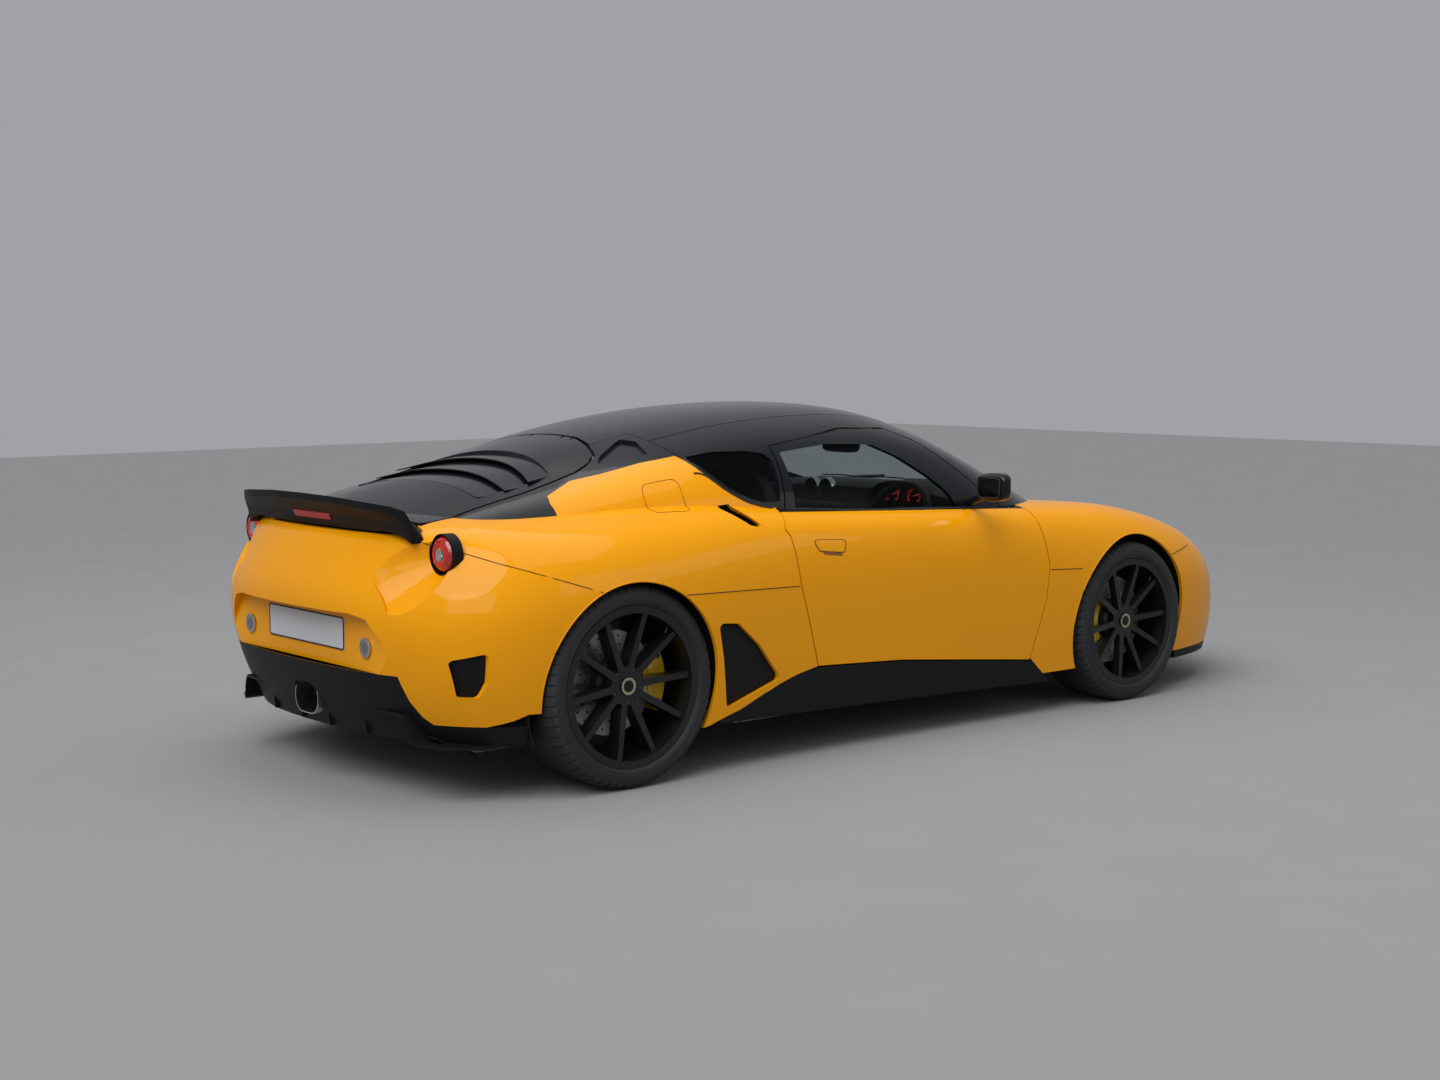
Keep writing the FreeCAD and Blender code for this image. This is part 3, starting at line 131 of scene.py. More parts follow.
# goes from one colour to the other as the share goes from 0 to 1
def colourMix(tree, share, first, second):
    mix = tree.nodes.new("ShaderNodeMix")
    mix.data_type = "RGBA"
    mix.inputs[6].default_value = (*first, 1.0)
    mix.inputs[7].default_value = (*second, 1.0)
    tree.links.new(share, mix.inputs[0])
    return mix.outputs[2]


def makeFinish(name, like=None):
    look = finishes[like or name]
    scale, height = look["grain"]
    material, tree, shader, place = newMaterial(name)
    cloud = addNoise(tree, place, relief["clouds"], 4.0)
    tree.links.new(colourMix(tree, cloud, look["light"], look["dark"]), shader.inputs["Base Color"])
    bump = tree.nodes.new("ShaderNodeBump")
    bump.inputs["Distance"].default_value = height
    bump.inputs["Strength"].default_value = relief["strength"]
    tree.links.new(addNoise(tree, place, scale, 3.0), bump.inputs["Height"])
    tree.links.new(bump.outputs["Normal"], shader.inputs["Normal"])
    rough = tree.nodes.new("ShaderNodeMapRange")
    rough.inputs["To Min"].default_value = look["rough"] * relief["smoothest"]
    rough.inputs["To Max"].default_value = min(1.0, look["rough"] * relief["roughest"])
    tree.links.new(cloud, rough.inputs["Value"])
    tree.links.new(rough.outputs["Result"], shader.inputs["Roughness"])
    shader.inputs["Metallic"].default_value = look.get("metal", 0.0)
    shader.inputs["Coat Weight"].default_value = look.get("coat", 0.0)
    shader.inputs["Coat Roughness"].default_value = relief["coatRough"]
    shader.inputs["Specular IOR Level"].default_value = look.get("shine", 0.5)
    return material


def makeGlass(name, tint, seen):
    material, tree, shader, place = newMaterial(name)
    cloud = addNoise(tree, place, 3.0)
    shade = colourMix(tree, cloud, (0.010, 0.011, 0.012), (0.016, 0.018, 0.019))
    tree.links.new(shade, shader.inputs["Base Color"])
    shader.inputs["Roughness"].default_value = 0.02
    shader.inputs["IOR"].default_value = 1.45
    clear = tree.nodes.new("ShaderNodeBsdfTransparent")
    tree.links.new(colourMix(tree, cloud, tint, [part * 0.92 for part in tint]), clear.inputs["Color"])
    blendIn = tree.nodes.new("ShaderNodeMixShader")
    blendIn.inputs[0].default_value = seen
    tree.links.new(shader.outputs[0], blendIn.inputs[1])
    tree.links.new(clear.outputs[0], blendIn.inputs[2])
    tree.links.new(blendIn.outputs[0], tree.nodes["Material Output"].inputs["Surface"])
    return material


def makeGlow(name, colour, strength):
    material, tree, shader, place = newMaterial(name)
    mixed = colourMix(tree, addNoise(tree, place, 90.0), colour, [part * 0.6 for part in colour])
    tree.links.new(mixed, shader.inputs["Base Color"])
    tree.links.new(mixed, shader.inputs["Emission Color"])
    shader.inputs["Emission Strength"].default_value = strength
    shader.inputs["Roughness"].default_value = 0.3
    return material


# second is a number or the output of another node
def addMath(tree, operation, first, second):
    node = tree.nodes.new("ShaderNodeMath")
    node.operation = operation
    tree.links.new(first, node.inputs[0])
    if isinstance(second, float):
        node.inputs[1].default_value = second
    else:
        tree.links.new(second, node.inputs[1])
    return node.outputs[0]


def splitAxes(tree, socket):
    split = tree.nodes.new("ShaderNodeSeparateXYZ")
    tree.links.new(socket, split.inputs[0])
    return split.outputs


# shows a second colour where a test of place or facing is met
def addSecondColour(material, colour, test):
    tree = material.node_tree
    shader = tree.nodes["Principled BSDF"]
    socket = shader.inputs["Base Color"]
    first = socket.links[0].from_socket
    mask = test(tree, next(node for node in tree.nodes if node.type == "TEX_COORD"))
    mix = tree.nodes.new("ShaderNodeMix")
    mix.data_type = "RGBA"
    mix.inputs[7].default_value = (*colour, 1.0)
    tree.links.new(mask, mix.inputs[0])
    tree.links.new(first, mix.inputs[6])
    tree.links.new(mix.outputs[2], socket)
    metal = shader.inputs["Metallic"].default_value
    if metal:
        less = tree.nodes.new("ShaderNodeMapRange")
        less.inputs["To Min"].default_value = metal
        less.inputs["To Max"].default_value = 0.0
        tree.links.new(mask, less.inputs["Value"])
        tree.links.new(less.outputs["Result"], shader.inputs["Metallic"])


cabin = {"rear": -0.815, "front": 0.735, "floor": 0.140, "glassAt": 0.795}


# inside the cabin: between the bulkheads and above the floor's underside
def inCabin(tree, place):
    axes = splitAxes(tree, place.outputs["Object"])
    ahead = addMath(tree, "GREATER_THAN", axes[0], cabin["rear"])
    behind = addMath(tree, "LESS_THAN", axes[0], cabin["front"])
    above = addMath(tree, "GREATER_THAN", axes[2], cabin["floor"])
    return addMath(tree, "MULTIPLY", addMath(tree, "MULTIPLY", ahead, behind), above)


# faces that look towards the middle of the car, and all that is nearer to it than the glass
def facingIn(tree, place, limit=-0.30, glassAt=cabin["glassAt"]):
    y = splitAxes(tree, place.outputs["Object"])[1]
    facing = splitAxes(tree, place.outputs["Normal"])[1]
    looksIn = addMath(tree, "LESS_THAN", addMath(tree, "MULTIPLY", y, facing), limit)
    inside = addMath(tree, "LESS_THAN", addMath(tree, "MULTIPLY", y, y), glassAt * glassAt)
    return addMath(tree, "MAXIMUM", looksIn, inside)


def behindPanel(tree, place):
    return facingIn(tree, place, -0.45, 0.0)


materials = {name: makeFinish(name) for name in finishes}
for name, like, colour, test in (("tubInside", "tubAlloy", (0.012, 0.012, 0.013), inCabin),
                                 ("doorPaint", "bodyPaint", (0.010, 0.010, 0.011), facingIn),
                                 ("panelPaint", "bodyPaint", (0.010, 0.010, 0.011), behindPanel)):
    materials[name] = makeFinish(name, like)
    addSecondColour(materials[name], colour, test)
for name, glass in glasses.items():
    materials[name] = makeGlass(name, glass["tint"], glass["seen"])
for name, glow in glows.items():
    materials[name] = makeGlow(name, glow["colour"], glow["strength"])
print("materials made")

slotFinish = {
    "body_paint": "bodyPaint", "black_paint": "blackGloss", "black_trim": "satinBlack",
    "tub_metal": "tubAlloy", "liner_plastic": "linerPlastic", "window_glass": "windowGlass",
    "lamp_glass": "lampGlass", "lamp_red": "redLens", "plate_white": "plateWhite",
    "steel": "brightSteel", "iron": "castIron", "wheel_black": "wheelBlack", "disc_iron": "discIron",
    "caliper_yellow": "caliperYellow", "tyre": "rubber", "seat_leather": "leather",
    "interior_black": "softBlack",
}
nodeFinish = {
    "hatch_glass": "darkGlass", "chassis_tub": "tubInside", "door_panel_left": "doorPaint",
    "door_panel_right": "doorPaint", "quarter_panels": "panelPaint", "front_clam": "panelPaint",
    "side_pods": "panelPaint",
}
for part in frame["record"]["subparts"]:
    finish = nodeFinish.get(part["node"], slotFinish[part["material_slot"]])
    nodes[part["node"]].data.materials.clear()
    nodes[part["node"]].data.materials.append(materials[finish])
print("nodes dressed")


# shapes; each is a pair of points and faces

def addObject(name, data):
    made = bpy.data.objects.new(name, data)
    bpy.context.scene.collection.objects.link(made)
    return made


sharpAbove = radians(38)


# one piece that moves with a body of the frame
def addPiece(name, shape, finish, body):
    points, faces = shape
    data = bpy.data.meshes.new(name)
    data.from_pydata([tuple(spot) for spot in points], [], faces)
    data.update()
    data.polygons.foreach_set("use_smooth", [True] * len(data.polygons))
    data.set_sharp_from_angle(angle=sharpAbove)
    data.materials.append(materials[finish])
    piece = addObject(name, data)
    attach(piece, body)
    return piece


def addFixed(name, shape, finish):
    return addPiece(name, shape, finish, "car_body")


def addSet(*rows):
    for name, shapes, finish, slotName in rows:
        addFixed(name, joined(shapes), finish)


# faces between rows of points, where each row is a loop; closed joins the last row to the first,
# turned makes the faces look the other way
def bridged(rows, count, closed=False, turned=False):
    faces = []
    for row in range(rows if closed else rows - 1):
        here, above = row * count, (row + 1) % rows * count
        for k in range(count):
            n = (k + 1) % count
            if turned:
                faces.append((here + k, above + k, above + n, here + n))
            else:
                faces.append((here + k, here + n, above + n, above + k))
    return faces


def frameAlong(direction):
    across = Vector((0, 0, 1)) if abs(direction.z) < 0.9 else Vector((1, 0, 0))
    side = direction.cross(across).normalized()
    return side, side.cross(direction).normalized()


# a closed profile of (radius, distance) turned about an axis
def turnedRing(profile, centre, axis, steps):
    axis = Vector(axis).normalized()
    side, up = frameAlong(axis)
    points = []
    for step in range(steps):
        angle = 2 * pi * step / steps
        out = cos(angle) * side + sin(angle) * up
        points += [Vector(centre) + out * radius + axis * distance for radius, distance in profile]
    return points, bridged(steps, len(profile), True, True)


def tubeAlong(path, radius, sides=8, closed=False):
    path = [Vector(spot) for spot in path]
    points, count = [], len(path)
    for k, here in enumerate(path):
        before = path[k - 1] if (k or closed) else here
        after = path[(k + 1) % count] if (k < count - 1 or closed) else here
        side, up = frameAlong((after - before).normalized())
        for step in range(sides):
            angle = 2 * pi * step / sides
            points.append(here + radius * (cos(angle) * side + sin(angle) * up))
    faces = bridged(count, sides, closed)
    if not closed:
        faces.append(tuple(range(sides))[::-1])
        faces.append(tuple((count - 1) * sides + k for k in range(sides)))
    return points, faces


def joined(shapes):
    points, faces = [], []
    for morePoints, moreFaces in shapes:
        start = len(points)
        points += [Vector(spot) for spot in morePoints]
        faces += [tuple(start + k for k in face) for face in moreFaces]
    return points, faces


trees = {}


def surfaceTree(names):
    key = tuple(sorted(names))
    if key not in trees:
        meshes = [nodes[name].data for name in key]
        shapes = [([v.co for v in mesh.vertices], [p.vertices for p in mesh.polygons]) for mesh in meshes]
        trees[key] = BVHTree.FromPolygons(*joined(shapes))
    return trees[key]


# where a line first meets the named nodes, lifted back towards where the line came from
def meet(names, start, way, lift=0.0):
    spot, normal = surfaceTree(names).ray_cast(Vector(start), Vector(way))[:2]
    if spot is None:
        return None
    return spot + normal * lift * (1 if normal.dot(Vector(way)) < 0 else -1)


def onSide(x, z, names, sign, lift=0.0):
    return meet(names, (x, sign * 1.3, z), (0, -sign, 0), lift)


def onTop(x, y, names, lift=0.0):
    return meet(names, (x, y, 1.6), (0, 0, -1), lift)


def onBack(y, z, names, lift=0.0):
    return meet(names, (-2.6, y, z), (1, 0, 0), lift)


# a closed outline with rounded corners
def roundedLine(corners, radius, steps=6):
    found, count = [], len(corners)
    for k in range(count):
        here = Vector(corners[k])
        before = (Vector(corners[k - 1]) - here).normalized()
        after = (Vector(corners[(k + 1) % count]) - here).normalized()
        half = acos(max(-1.0, min(1.0, before.dot(after)))) / 2
        cut = radius / tan(half)
        start, end = here + before * cut, here + after * cut
        for step in range(steps + 1):
            t = step / steps
            found.append((1 - t) ** 2 * start + 2 * t * (1 - t) * here + t * t * end)
    return found


def roundedBox(across, up, radius):
    corners = [(across[0], up[0]), (across[1], up[0]), (across[1], up[1]), (across[0], up[1])]
    return roundedLine(corners, radius)


# a sheet over an outline, its rim dropped; place(a, b, height) puts each point on a surface
def padOver(outline, place, lift, rimDrop, rings=4):
    middle = sum(outline, Vector((0, 0))) / len(outline)
    points, count = [], len(outline)
    for ring in range(rings + 1):
        share, height = 1 - (ring - 1) / rings, lift
        if ring == 0:
            share, height = 1.0, -rimDrop
        elif ring == 1:
            share, height = 0.985, lift * 0.8
        for spot in outline:
            at = middle + (spot - middle) * share
            found = place(at.x, at.y, height)
            points.append(found if found is not None else points[-1])
    return points, bridged(rings + 1, count) + [tuple(rings * count + k for k in range(count))]


# points of a plain two-number line, closer together
def between(points, spacing=0.008):
    found = []
    for (a, b), (c, d) in zip(points, points[1:]):
        steps = max(1, int(hypot(c - a, d - b) / spacing))
        found += [(a + (c - a) * k / steps, b + (d - b) * k / steps) for k in range(steps)]
    return found + [points[-1]]


seamJump = 0.045  # a point farther than this from both its neighbours fell into a gap


def addSeam(name, line, place, radius):
    spots = [spot for spot in (place(a, b) for a, b in between(line)) if spot is not None]
    path = []
    for k, spot in enumerate(spots):
        beside = spots[max(0, k - 1):k] + spots[k + 1:k + 2]
        if any((other - spot).length < seamJump for other in beside):
            path.append(spot)
    if len(path) > 1:
        addFixed(name, tubeAlong(path, radius, 6), "seamDark")


# stage

floorSize = 40.0
worldLight = {"colour": (0.80, 0.82, 0.85, 1.0), "strength": 0.44}
softSun = {"from": (-4.0, -1.6, 6.0), "power": 1.9, "spread": 50.0}
studioLights = {
    "overhead": {"place": (-0.5, 0.0, 5.0), "aim": (0, 0, 0), "size": (8.0, 3.5), "power": 100.0},
    "leftWall": {"place": (-6.5, -4.0, 3.4), "aim": (-0.6, 0, 0.6), "size": (4.0, 2.2), "power": 45.0},
    "farWall": {"place": (2.5, -6.5, 3.4), "aim": (0.2, 0, 0.6), "size": (5.0, 2.0), "power": 25.0},
}
viewpoint = {"lens": 51.52, "place": (-5.4688, -6.2497, 1.4853), "yaw": 50.344, "pitch": -5.567,
             "roll": -0.212}


def addFloor():
    half = floorSize / 2
    data = bpy.data.meshes.new("floor")
    corners = [(-half, -half, 0), (half, -half, 0), (half, half, 0), (-half, half, 0)]
    data.from_pydata(corners, [], [(0, 1, 2, 3)])
    data.materials.append(materials["floorPale"])
    addObject("floor", data)


def addLight(name, light):
    data = bpy.data.lights.new(name, "AREA")
    data.shape = "RECTANGLE"
    data.size, data.size_y = light["size"]
    data.energy = light["power"]
    lamp = addObject(name, data)
    lamp.location = light["place"]
    way = Vector(light["aim"]) - Vector(light["place"])
    lamp.rotation_euler = way.to_track_quat("-Z", "Y").to_euler()


def addSun():
    data = bpy.data.lights.new("softSun", "SUN")
    data.energy = softSun["power"]
    data.angle = radians(softSun["spread"])
    lamp = addObject("softSun", data)
    lamp.rotation_euler = (-Vector(softSun["from"])).to_track_quat("-Z", "Y").to_euler()


def addWorld():
    world = bpy.data.worlds.new("studio")
    bpy.context.scene.world = world
    world.use_nodes = True
    back = world.node_tree.nodes["Background"]
    back.inputs["Color"].default_value = worldLight["colour"]
    back.inputs["Strength"].default_value = worldLight["strength"]


def addCamera():
    data = bpy.data.cameras.new("viewpoint")
    data.lens = viewpoint["lens"]
    data.sensor_width = 36.0
    camera = addObject("viewpoint", data)
    yaw, pitch, roll = [radians(viewpoint[turn]) for turn in ("yaw", "pitch", "roll")]
    look = Vector((cos(pitch) * cos(yaw), cos(pitch) * sin(yaw), sin(pitch)))
    right = look.cross(Vector((0, 0, 1))).normalized()
    up = right.cross(look)
    turnedRight = cos(roll) * right + sin(roll) * up
    turnedUp = -sin(roll) * right + cos(roll) * up
    turn = Matrix((turnedRight, turnedUp, -look)).transposed()
    camera.matrix_world = Matrix.Translation(viewpoint["place"]) @ turn.to_4x4()
    bpy.context.scene.camera = camera


addFloor()
addWorld()
addSun()
for name, light in studioLights.items():
    addLight(name, light)
addCamera()
bpy.context.scene.view_settings.view_transform = "Standard"
print("stage set")


# wheels; profiles are (radius, distance outward)

frontAxleX = 1.175
rearAxleX = -1.400
wheelSizes = {
    "front": {"x": frontAxleX, "y": 0.7625, "radius": 0.327, "width": 0.245, "rim": 0.2585},
    "rear": {"x": rearAxleX, "y": 0.7575, "radius": 0.3425, "width": 0.295, "rim": 0.2715},
}
sides = {"left": 1, "right": -1}


def wheelCentre(place, side):
    size = wheelSizes[place]
    return Vector((size["x"], size["y"] * sides[side], size["radius"]))


# a point beside a wheel's centre: how far round, how far out and how far along the axle
def roundAxle(centre, turn, reach, along=0.0):
    return centre + Vector((cos(turn) * reach, along, sin(turn) * reach))


def axleRing(profile, centre, sign, steps, face=0.0):
    return turnedRing([(r, (face + y) * sign) for r, y in profile], centre, (0, 1, 0), steps)


# shoulder: (in from the edge, down from the tread, which of the cross cut's depths)
# wall: (share of the height, how far in); bead: (how far in, how far up from the rim)
tread = {
    "pitches": 60, "grooves": (0.20, 0.52), "grooveDepth": 0.0065, "grooveHalf": 0.0042,
    "grooveSlope": 0.0015, "cutDepths": (0.0, 0.004, 0.005), "cutFrom": 0.80, "cutTo": 0.96, "slant": 0.006,
    "shoulder": ((0.044, 0.0006, 1), (0.030, 0.0028, 2), (0.020, 0.0076, 2), (0.012, 0.0145, 2),
                 (0.0088, 0.020, 1), (0.0060, 0.027, 0)),
    "wall": ((0.95, 0.0048), (0.80, 0.0030), (0.76, 0.0040), (0.60, 0.0026), (0.40, 0.0028), (0.24, 0.0044),
             (0.20, 0.0028), (0.06, 0.0062)),
    "bead": ((0.0085, 0.0042), (0.0150, 0.0004), (0.0180, -0.0170)),
}


# the section from edge to edge as (distance from the middle, radius, which of the cross cut's depths)
def tyreSection(size):
    half, radius, edge = size["width"] / 2, size["radius"], size["rim"]
    gap, slope, floor = tread["grooveHalf"], tread["grooveSlope"], radius - tread["grooveDepth"]
    points = [(0.0, radius, 0)]
    for share in tread["grooves"]:
        y = share * half
        points += [(y - gap, radius, 0), (y - gap + slope, floor, 0), (y + gap - slope, floor, 0),
                   (y + gap, radius, 0)]
    points += [(half - inward, radius - down, cut) for inward, down, cut in tread["shoulder"]]
    foot = edge + 0.006
    wall = radius - 0.030 - foot
    points += [(half - inward, foot + wall * share, 0) for share, inward in tread["wall"]]
    points += [(half - inward, edge + up, 0) for inward, up in tread["bead"]]
    return [(-y, r, cut) for y, r, cut in points[:0:-1]] + points


def addTyre(place, side):
    centre, section = wheelCentre(place, side), tyreSection(wheelSizes[place])
    pitch = 2 * pi / tread["pitches"]
    edges = ((0.0, 0), (tread["cutFrom"], 0), (tread["cutFrom"] + 0.04, 1), (tread["cutTo"], 1))
    points = []
    for number in range(tread["pitches"]):
        for share, inCut in edges:
            for y, r, cut in section:
                slant = copysign(tread["slant"], y) if cut else 0.0
                reach = r - tread["cutDepths"][cut] * inCut
                points.append(roundAxle(centre, pitch * (number + share) + slant, reach, y))
    shape = points, bridged(tread["pitches"] * len(edges), len(section), True)
    wheel = place + "_" + side
    tyre = addPiece("treadTyre_" + wheel, shape, "rubber", "wheel_" + wheel)
    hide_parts("tyre_" + wheel)


brake = {
    "inside": 0.084, "outside": 0.178, "edge": 0.005, "faces": (-0.024, 0.004), "plate": 0.009,
    "holes": 24, "rows": 3, "holeRadius": 0.0042,
    "vanes": 36, "vaneHalf": 0.002, "vaneReach": (0.092, 0.175),
    "bell": [(0.088, -0.010), (0.088, 0.036), (0.085, 0.043), (0.080, 0.045), (0.021, 0.045),
             (0.021, 0.037), (0.078, 0.037), (0.080, -0.010)],
    "rivets": 10, "rivetReach": 0.0925,
    "rivet": [(0.0, 0.0), (0.0052, 0.0), (0.0052, 0.0028), (0.003, 0.004), (0.0, 0.004)],
}
vaneFaces = [(0, 1, 3, 2), (4, 6, 7, 5), (0, 4, 5, 1), (2, 3, 7, 6), (0, 2, 6, 4), (1, 5, 7, 3)]


# one ring-shaped cell with a round hole through it, as front, back and wall faces
def drilledCell(centre, sign, inner, outer, start, end, plate):
    middle, radius, hole = (start + end) / 2, (inner + outer) / 2, brake["holeRadius"]
    outside, inside = [], []
    for u, v in ((-1, -1), (0, -1), (1, -1), (1, 0), (1, 1), (0, 1), (-1, 1), (-1, 0)):
        outside.append((middle + u * (end - start) / 2, radius + v * (outer - inner) / 2))
        turn = atan2(v, u)
        inside.append((middle + cos(turn) * hole / radius, radius + sin(turn) * hole))
    points = [roundAxle(centre, turn, reach, y * sign) for y in plate for turn, reach in outside + inside]
    cells = []
    for k in range(8):
        n = (k + 1) % 8
        cells.append((k, n, 8 + n, 8 + k))
        cells.append((16 + k, 24 + k, 24 + n, 16 + n))
        cells.append((8 + k, 8 + n, 24 + n, 24 + k))
    return points, cells


def addDisc(place, side):
    centre, sign, wheel = wheelCentre(place, side), sides[side], place + "_" + side
    low, high = brake["faces"]
    inside, outside, edge = brake["inside"], brake["outside"], brake["edge"]
    step, deep = 2 * pi / brake["holes"], (outside - inside - 2 * edge) / brake["rows"]
    shapes = []
    for back, front in ((low, low + brake["plate"]), (high - brake["plate"], high)):
        for row in range(brake["rows"]):
            inner = inside + edge + row * deep
            for k in range(brake["holes"]):
                start = step * (k + row / 3)
                cell = drilledCell(centre, sign, inner, inner + deep, start, start + step, (back, front))
                shapes.append(cell)
        for a, b in ((inside, inside + edge), (outside - edge, outside)):
            shapes.append(axleRing([(a, back), (b, back), (b, front), (a, front)], centre, sign, 72))
    for k in range(brake["vanes"]):
        turn = 2 * pi * k / brake["vanes"]
        across = Vector((-sin(turn), 0, cos(turn))) * brake["vaneHalf"]
        corners = [roundAxle(centre, turn, reach, y * sign) + across * way
                   for y in (low + brake["plate"], high - brake["plate"])
                   for reach in brake["vaneReach"] for way in (-1, 1)]
        shapes.append((corners, vaneFaces))
    rotor = addPiece("drilledRotor_" + wheel, joined(shapes), "discIron", "wheel_" + wheel)
    hat = [axleRing(brake["bell"], centre, sign, 64)]
    for k in range(brake["rivets"]):
        turn = 2 * pi * k / brake["rivets"]
        spot = roundAxle(centre, turn, brake["rivetReach"], high * sign)
        hat.append(axleRing(brake["rivet"], spot, sign, 12))
    addPiece("brakeBell_" + wheel, joined(hat), "castIron", "wheel_" + wheel)
    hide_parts("disc_" + wheel)


hub = {
    "lugs": 5, "circle": 0.057, "turn": 13.0, "faceIn": 0.046,
    "bolt": [(0.0, -0.0115), (0.0066, -0.0115), (0.0066, -0.0025), (0.0052, -0.001), (0.0036, -0.001),
             (0.0030, -0.004), (0.0, -0.004)],
    "cap": [(0.0, 0.0), (0.031, 0.0), (0.031, 0.004), (0.029, 0.0058), (0.0245, 0.0058), (0.0235, 0.0044),
            (0.010, 0.0056), (0.0, 0.0060)],
    "ring": [(0.0292, 0.0056), (0.0292, 0.0068), (0.0205, 0.0062), (0.0205, 0.0040)],
    "valve": {"turn": 49.0, "in": 0.027, "out": 0.010, "lean": 0.35, "length": 0.026, "radius": 0.0042},
}


def addHub(place, side):
    centre, sign, wheel = wheelCentre(place, side), sides[side], place + "_" + side
    size, body, valve = wheelSizes[place], "wheel_" + wheel, hub["valve"]
    face = size["width"] / 2 - hub["faceIn"]
    bolts = []
    for k in range(hub["lugs"]):
        turn = radians(k * 360.0 / hub["lugs"] - hub["turn"])
        bolts.append(axleRing(hub["bolt"], roundAxle(centre, turn, hub["circle"]), sign, 12, face))
    addPiece("wheelBolts_" + wheel, joined(bolts), "darkSteel", body)
    cap, ring = [axleRing(hub[name], centre, sign, 48, face) for name in ("cap", "ring")]
    addPiece("centreCap_" + wheel, cap, "blackGloss", body)
    addPiece("capRing_" + wheel, ring, "capGold", body)
    turn = radians(valve["turn"])
    stem = roundAxle(centre, turn, size["rim"] - valve["in"], (face + valve["out"]) * sign)
    inward = Vector((-cos(turn), valve["lean"] * sign, -sin(turn))).normalized()
    tube = tubeAlong([stem, stem + inward * valve["length"]], valve["radius"], 10)
    addPiece("valveStem_" + wheel, tube, "softBlack", body)


# the front calipers sit behind their axle, the rear ones ahead of theirs
caliperFace = 0.035
caliperTrim = {
    "caliperBolts_": {"at": (-24, 24), "reach": 0.190, "steps": 12, "finish": "darkSteel", "slot": "steel",
                      "profile": [(0.0, -0.002), (0.010, -0.002), (0.010, 0.005), (0.005, 0.005),
                                  (0.004, 0.002), (0.0, 0.002)]},
    "caliperPots_": {"at": (-13, 0, 13), "reach": 0.150, "steps": 24, "finish": "caliperYellow",
                     "slot": "caliper_yellow",
                     "profile": [(0.0, -0.002), (0.017, -0.002), (0.015, 0.003), (0.0, 0.004)]},
}


def addCaliperTrim(place, side):
    centre, sign = wheelCentre(place, side), sides[side]
    body = "upright_" + side if place == "front" else "car_body"
    for name, trim in caliperTrim.items():
        shapes = []
        for degrees in trim["at"]:
            turn = radians(180 - degrees if place == "front" else degrees)
            spot = roundAxle(centre, turn, trim["reach"])
            shapes.append(axleRing(trim["profile"], spot, sign, trim["steps"], caliperFace))
        addPiece(name + place + "_" + side, joined(shapes), trim["finish"], body)


for place in wheelSizes:
    for side in sides:
        addTyre(place, side)
        addDisc(place, side)
        addHub(place, side)
        addCaliperTrim(place, side)
print("wheels dressed")


# lines between panels, as (x, z) on both sides

panelLines = {
    "tailSeam": [(-2.008, 0.842), (-1.939, 0.813), (-1.857, 0.778), (-1.734, 0.736), (-1.547, 0.674),
                 (-1.515, 0.662)],
    "podSeam": [(-1.207, 0.636), (-0.660, 0.621)],
    "wingSeam": [(1.425, 0.584), (1.498, 0.594), (1.617, 0.608)],
    "badgeSeam": [(0.628, 0.583), (0.835, 0.573)],
}
panelSeam = {"lift": 0.0007, "radius": 0.0013}
archLips = {
    "front": {"x": frontAxleX, "z": 0.327, "radius": 0.3635, "from": 4, "to": 176},
    "rear": {"x": rearAxleX, "z": 0.3425, "radius": 0.3535, "from": -14, "to": 194},
}
archLip = {"steps": 72, "sunk": 0.0016, "thick": 0.0032, "outside": 0.75}
skinNames = ("quarter_panels", "rear_bumper", "side_pods", "front_clam")


def addPanelLines(side):
    def onSkin(x, z):
        return onSide(x, z, skinNames, sides[side], panelSeam["lift"])

    for name, line in panelLines.items():
        addSeam(name + "_" + side, line, onSkin, panelSeam["radius"])


def addArchLips(side):
    for place, arch in archLips.items():
        path = []
        for k in range(archLip["steps"] + 1):
            turn = radians(arch["from"] + (arch["to"] - arch["from"]) * k / archLip["steps"])
            x = arch["x"] + cos(turn) * arch["radius"]
            z = arch["z"] + sin(turn) * arch["radius"]
            spot = onSide(x, z, skinNames, sides[side], -archLip["sunk"])
            if spot is not None and abs(spot.y) > archLip["outside"]:
                path.append(spot)
        tube = tubeAlong(path, archLip["thick"], 10)
        addFixed("archLip_%s_%s" % (place, side), tube, "bodyPaint")


for side in sides:
    addPanelLines(side)
for side in sides:
    addArchLips(side)
print("panel lines drawn")


# door handles, seals and mirrors

handle = {
    "corners": [(-0.588, 0.777), (-0.429, 0.767), (-0.445, 0.725), (-0.562, 0.737)], "round": 0.013,
    "proud": 0.0022, "sunk": 0.003, "gapAway": 0.0020, "gapRadius": 0.0015, "gapLift": 0.0002,
    "scoop": [(-0.556, 0.7345), (-0.450, 0.7235), (-0.456, 0.7120), (-0.540, 0.7225)],
    "scoopRound": 0.005, "scoopLift": 0.0008,
}


def addHandle(side):
    body = "door_" + side

    def onDoor(x, z, lift):
        return onSide(x, z, ("door_panel_" + side,), sides[side], lift)

    outline = roundedLine(handle["corners"], handle["round"])
    pad = padOver(outline, onDoor, handle["proud"], handle["sunk"])
    addPiece("doorHandle_" + side, pad, "bodyPaint", body)
    middle = sum(outline, Vector((0, 0))) / len(outline)
    path = []
    for spot in outline:
        at = middle + (spot - middle) * (1 + handle["gapAway"] / (spot - middle).length)
        path.append(onDoor(at.x, at.y, handle["gapLift"]))
    tube = tubeAlong([spot for spot in path if spot is not None], handle["gapRadius"], 8, True)
    addPiece("handleGap_" + side, tube, "seamDark", body)
    # the finger scoop is not cut in; a thin sheet laid on the door in darker paint gives its painted shade
    outline = roundedLine(handle["scoop"], handle["scoopRound"], 4)
    scoop = padOver(outline, onDoor, handle["scoopLift"], 0.002, 2)
    addPiece("handleScoopShade_" + side, scoop, "paintedShadeBodyPaint", body)


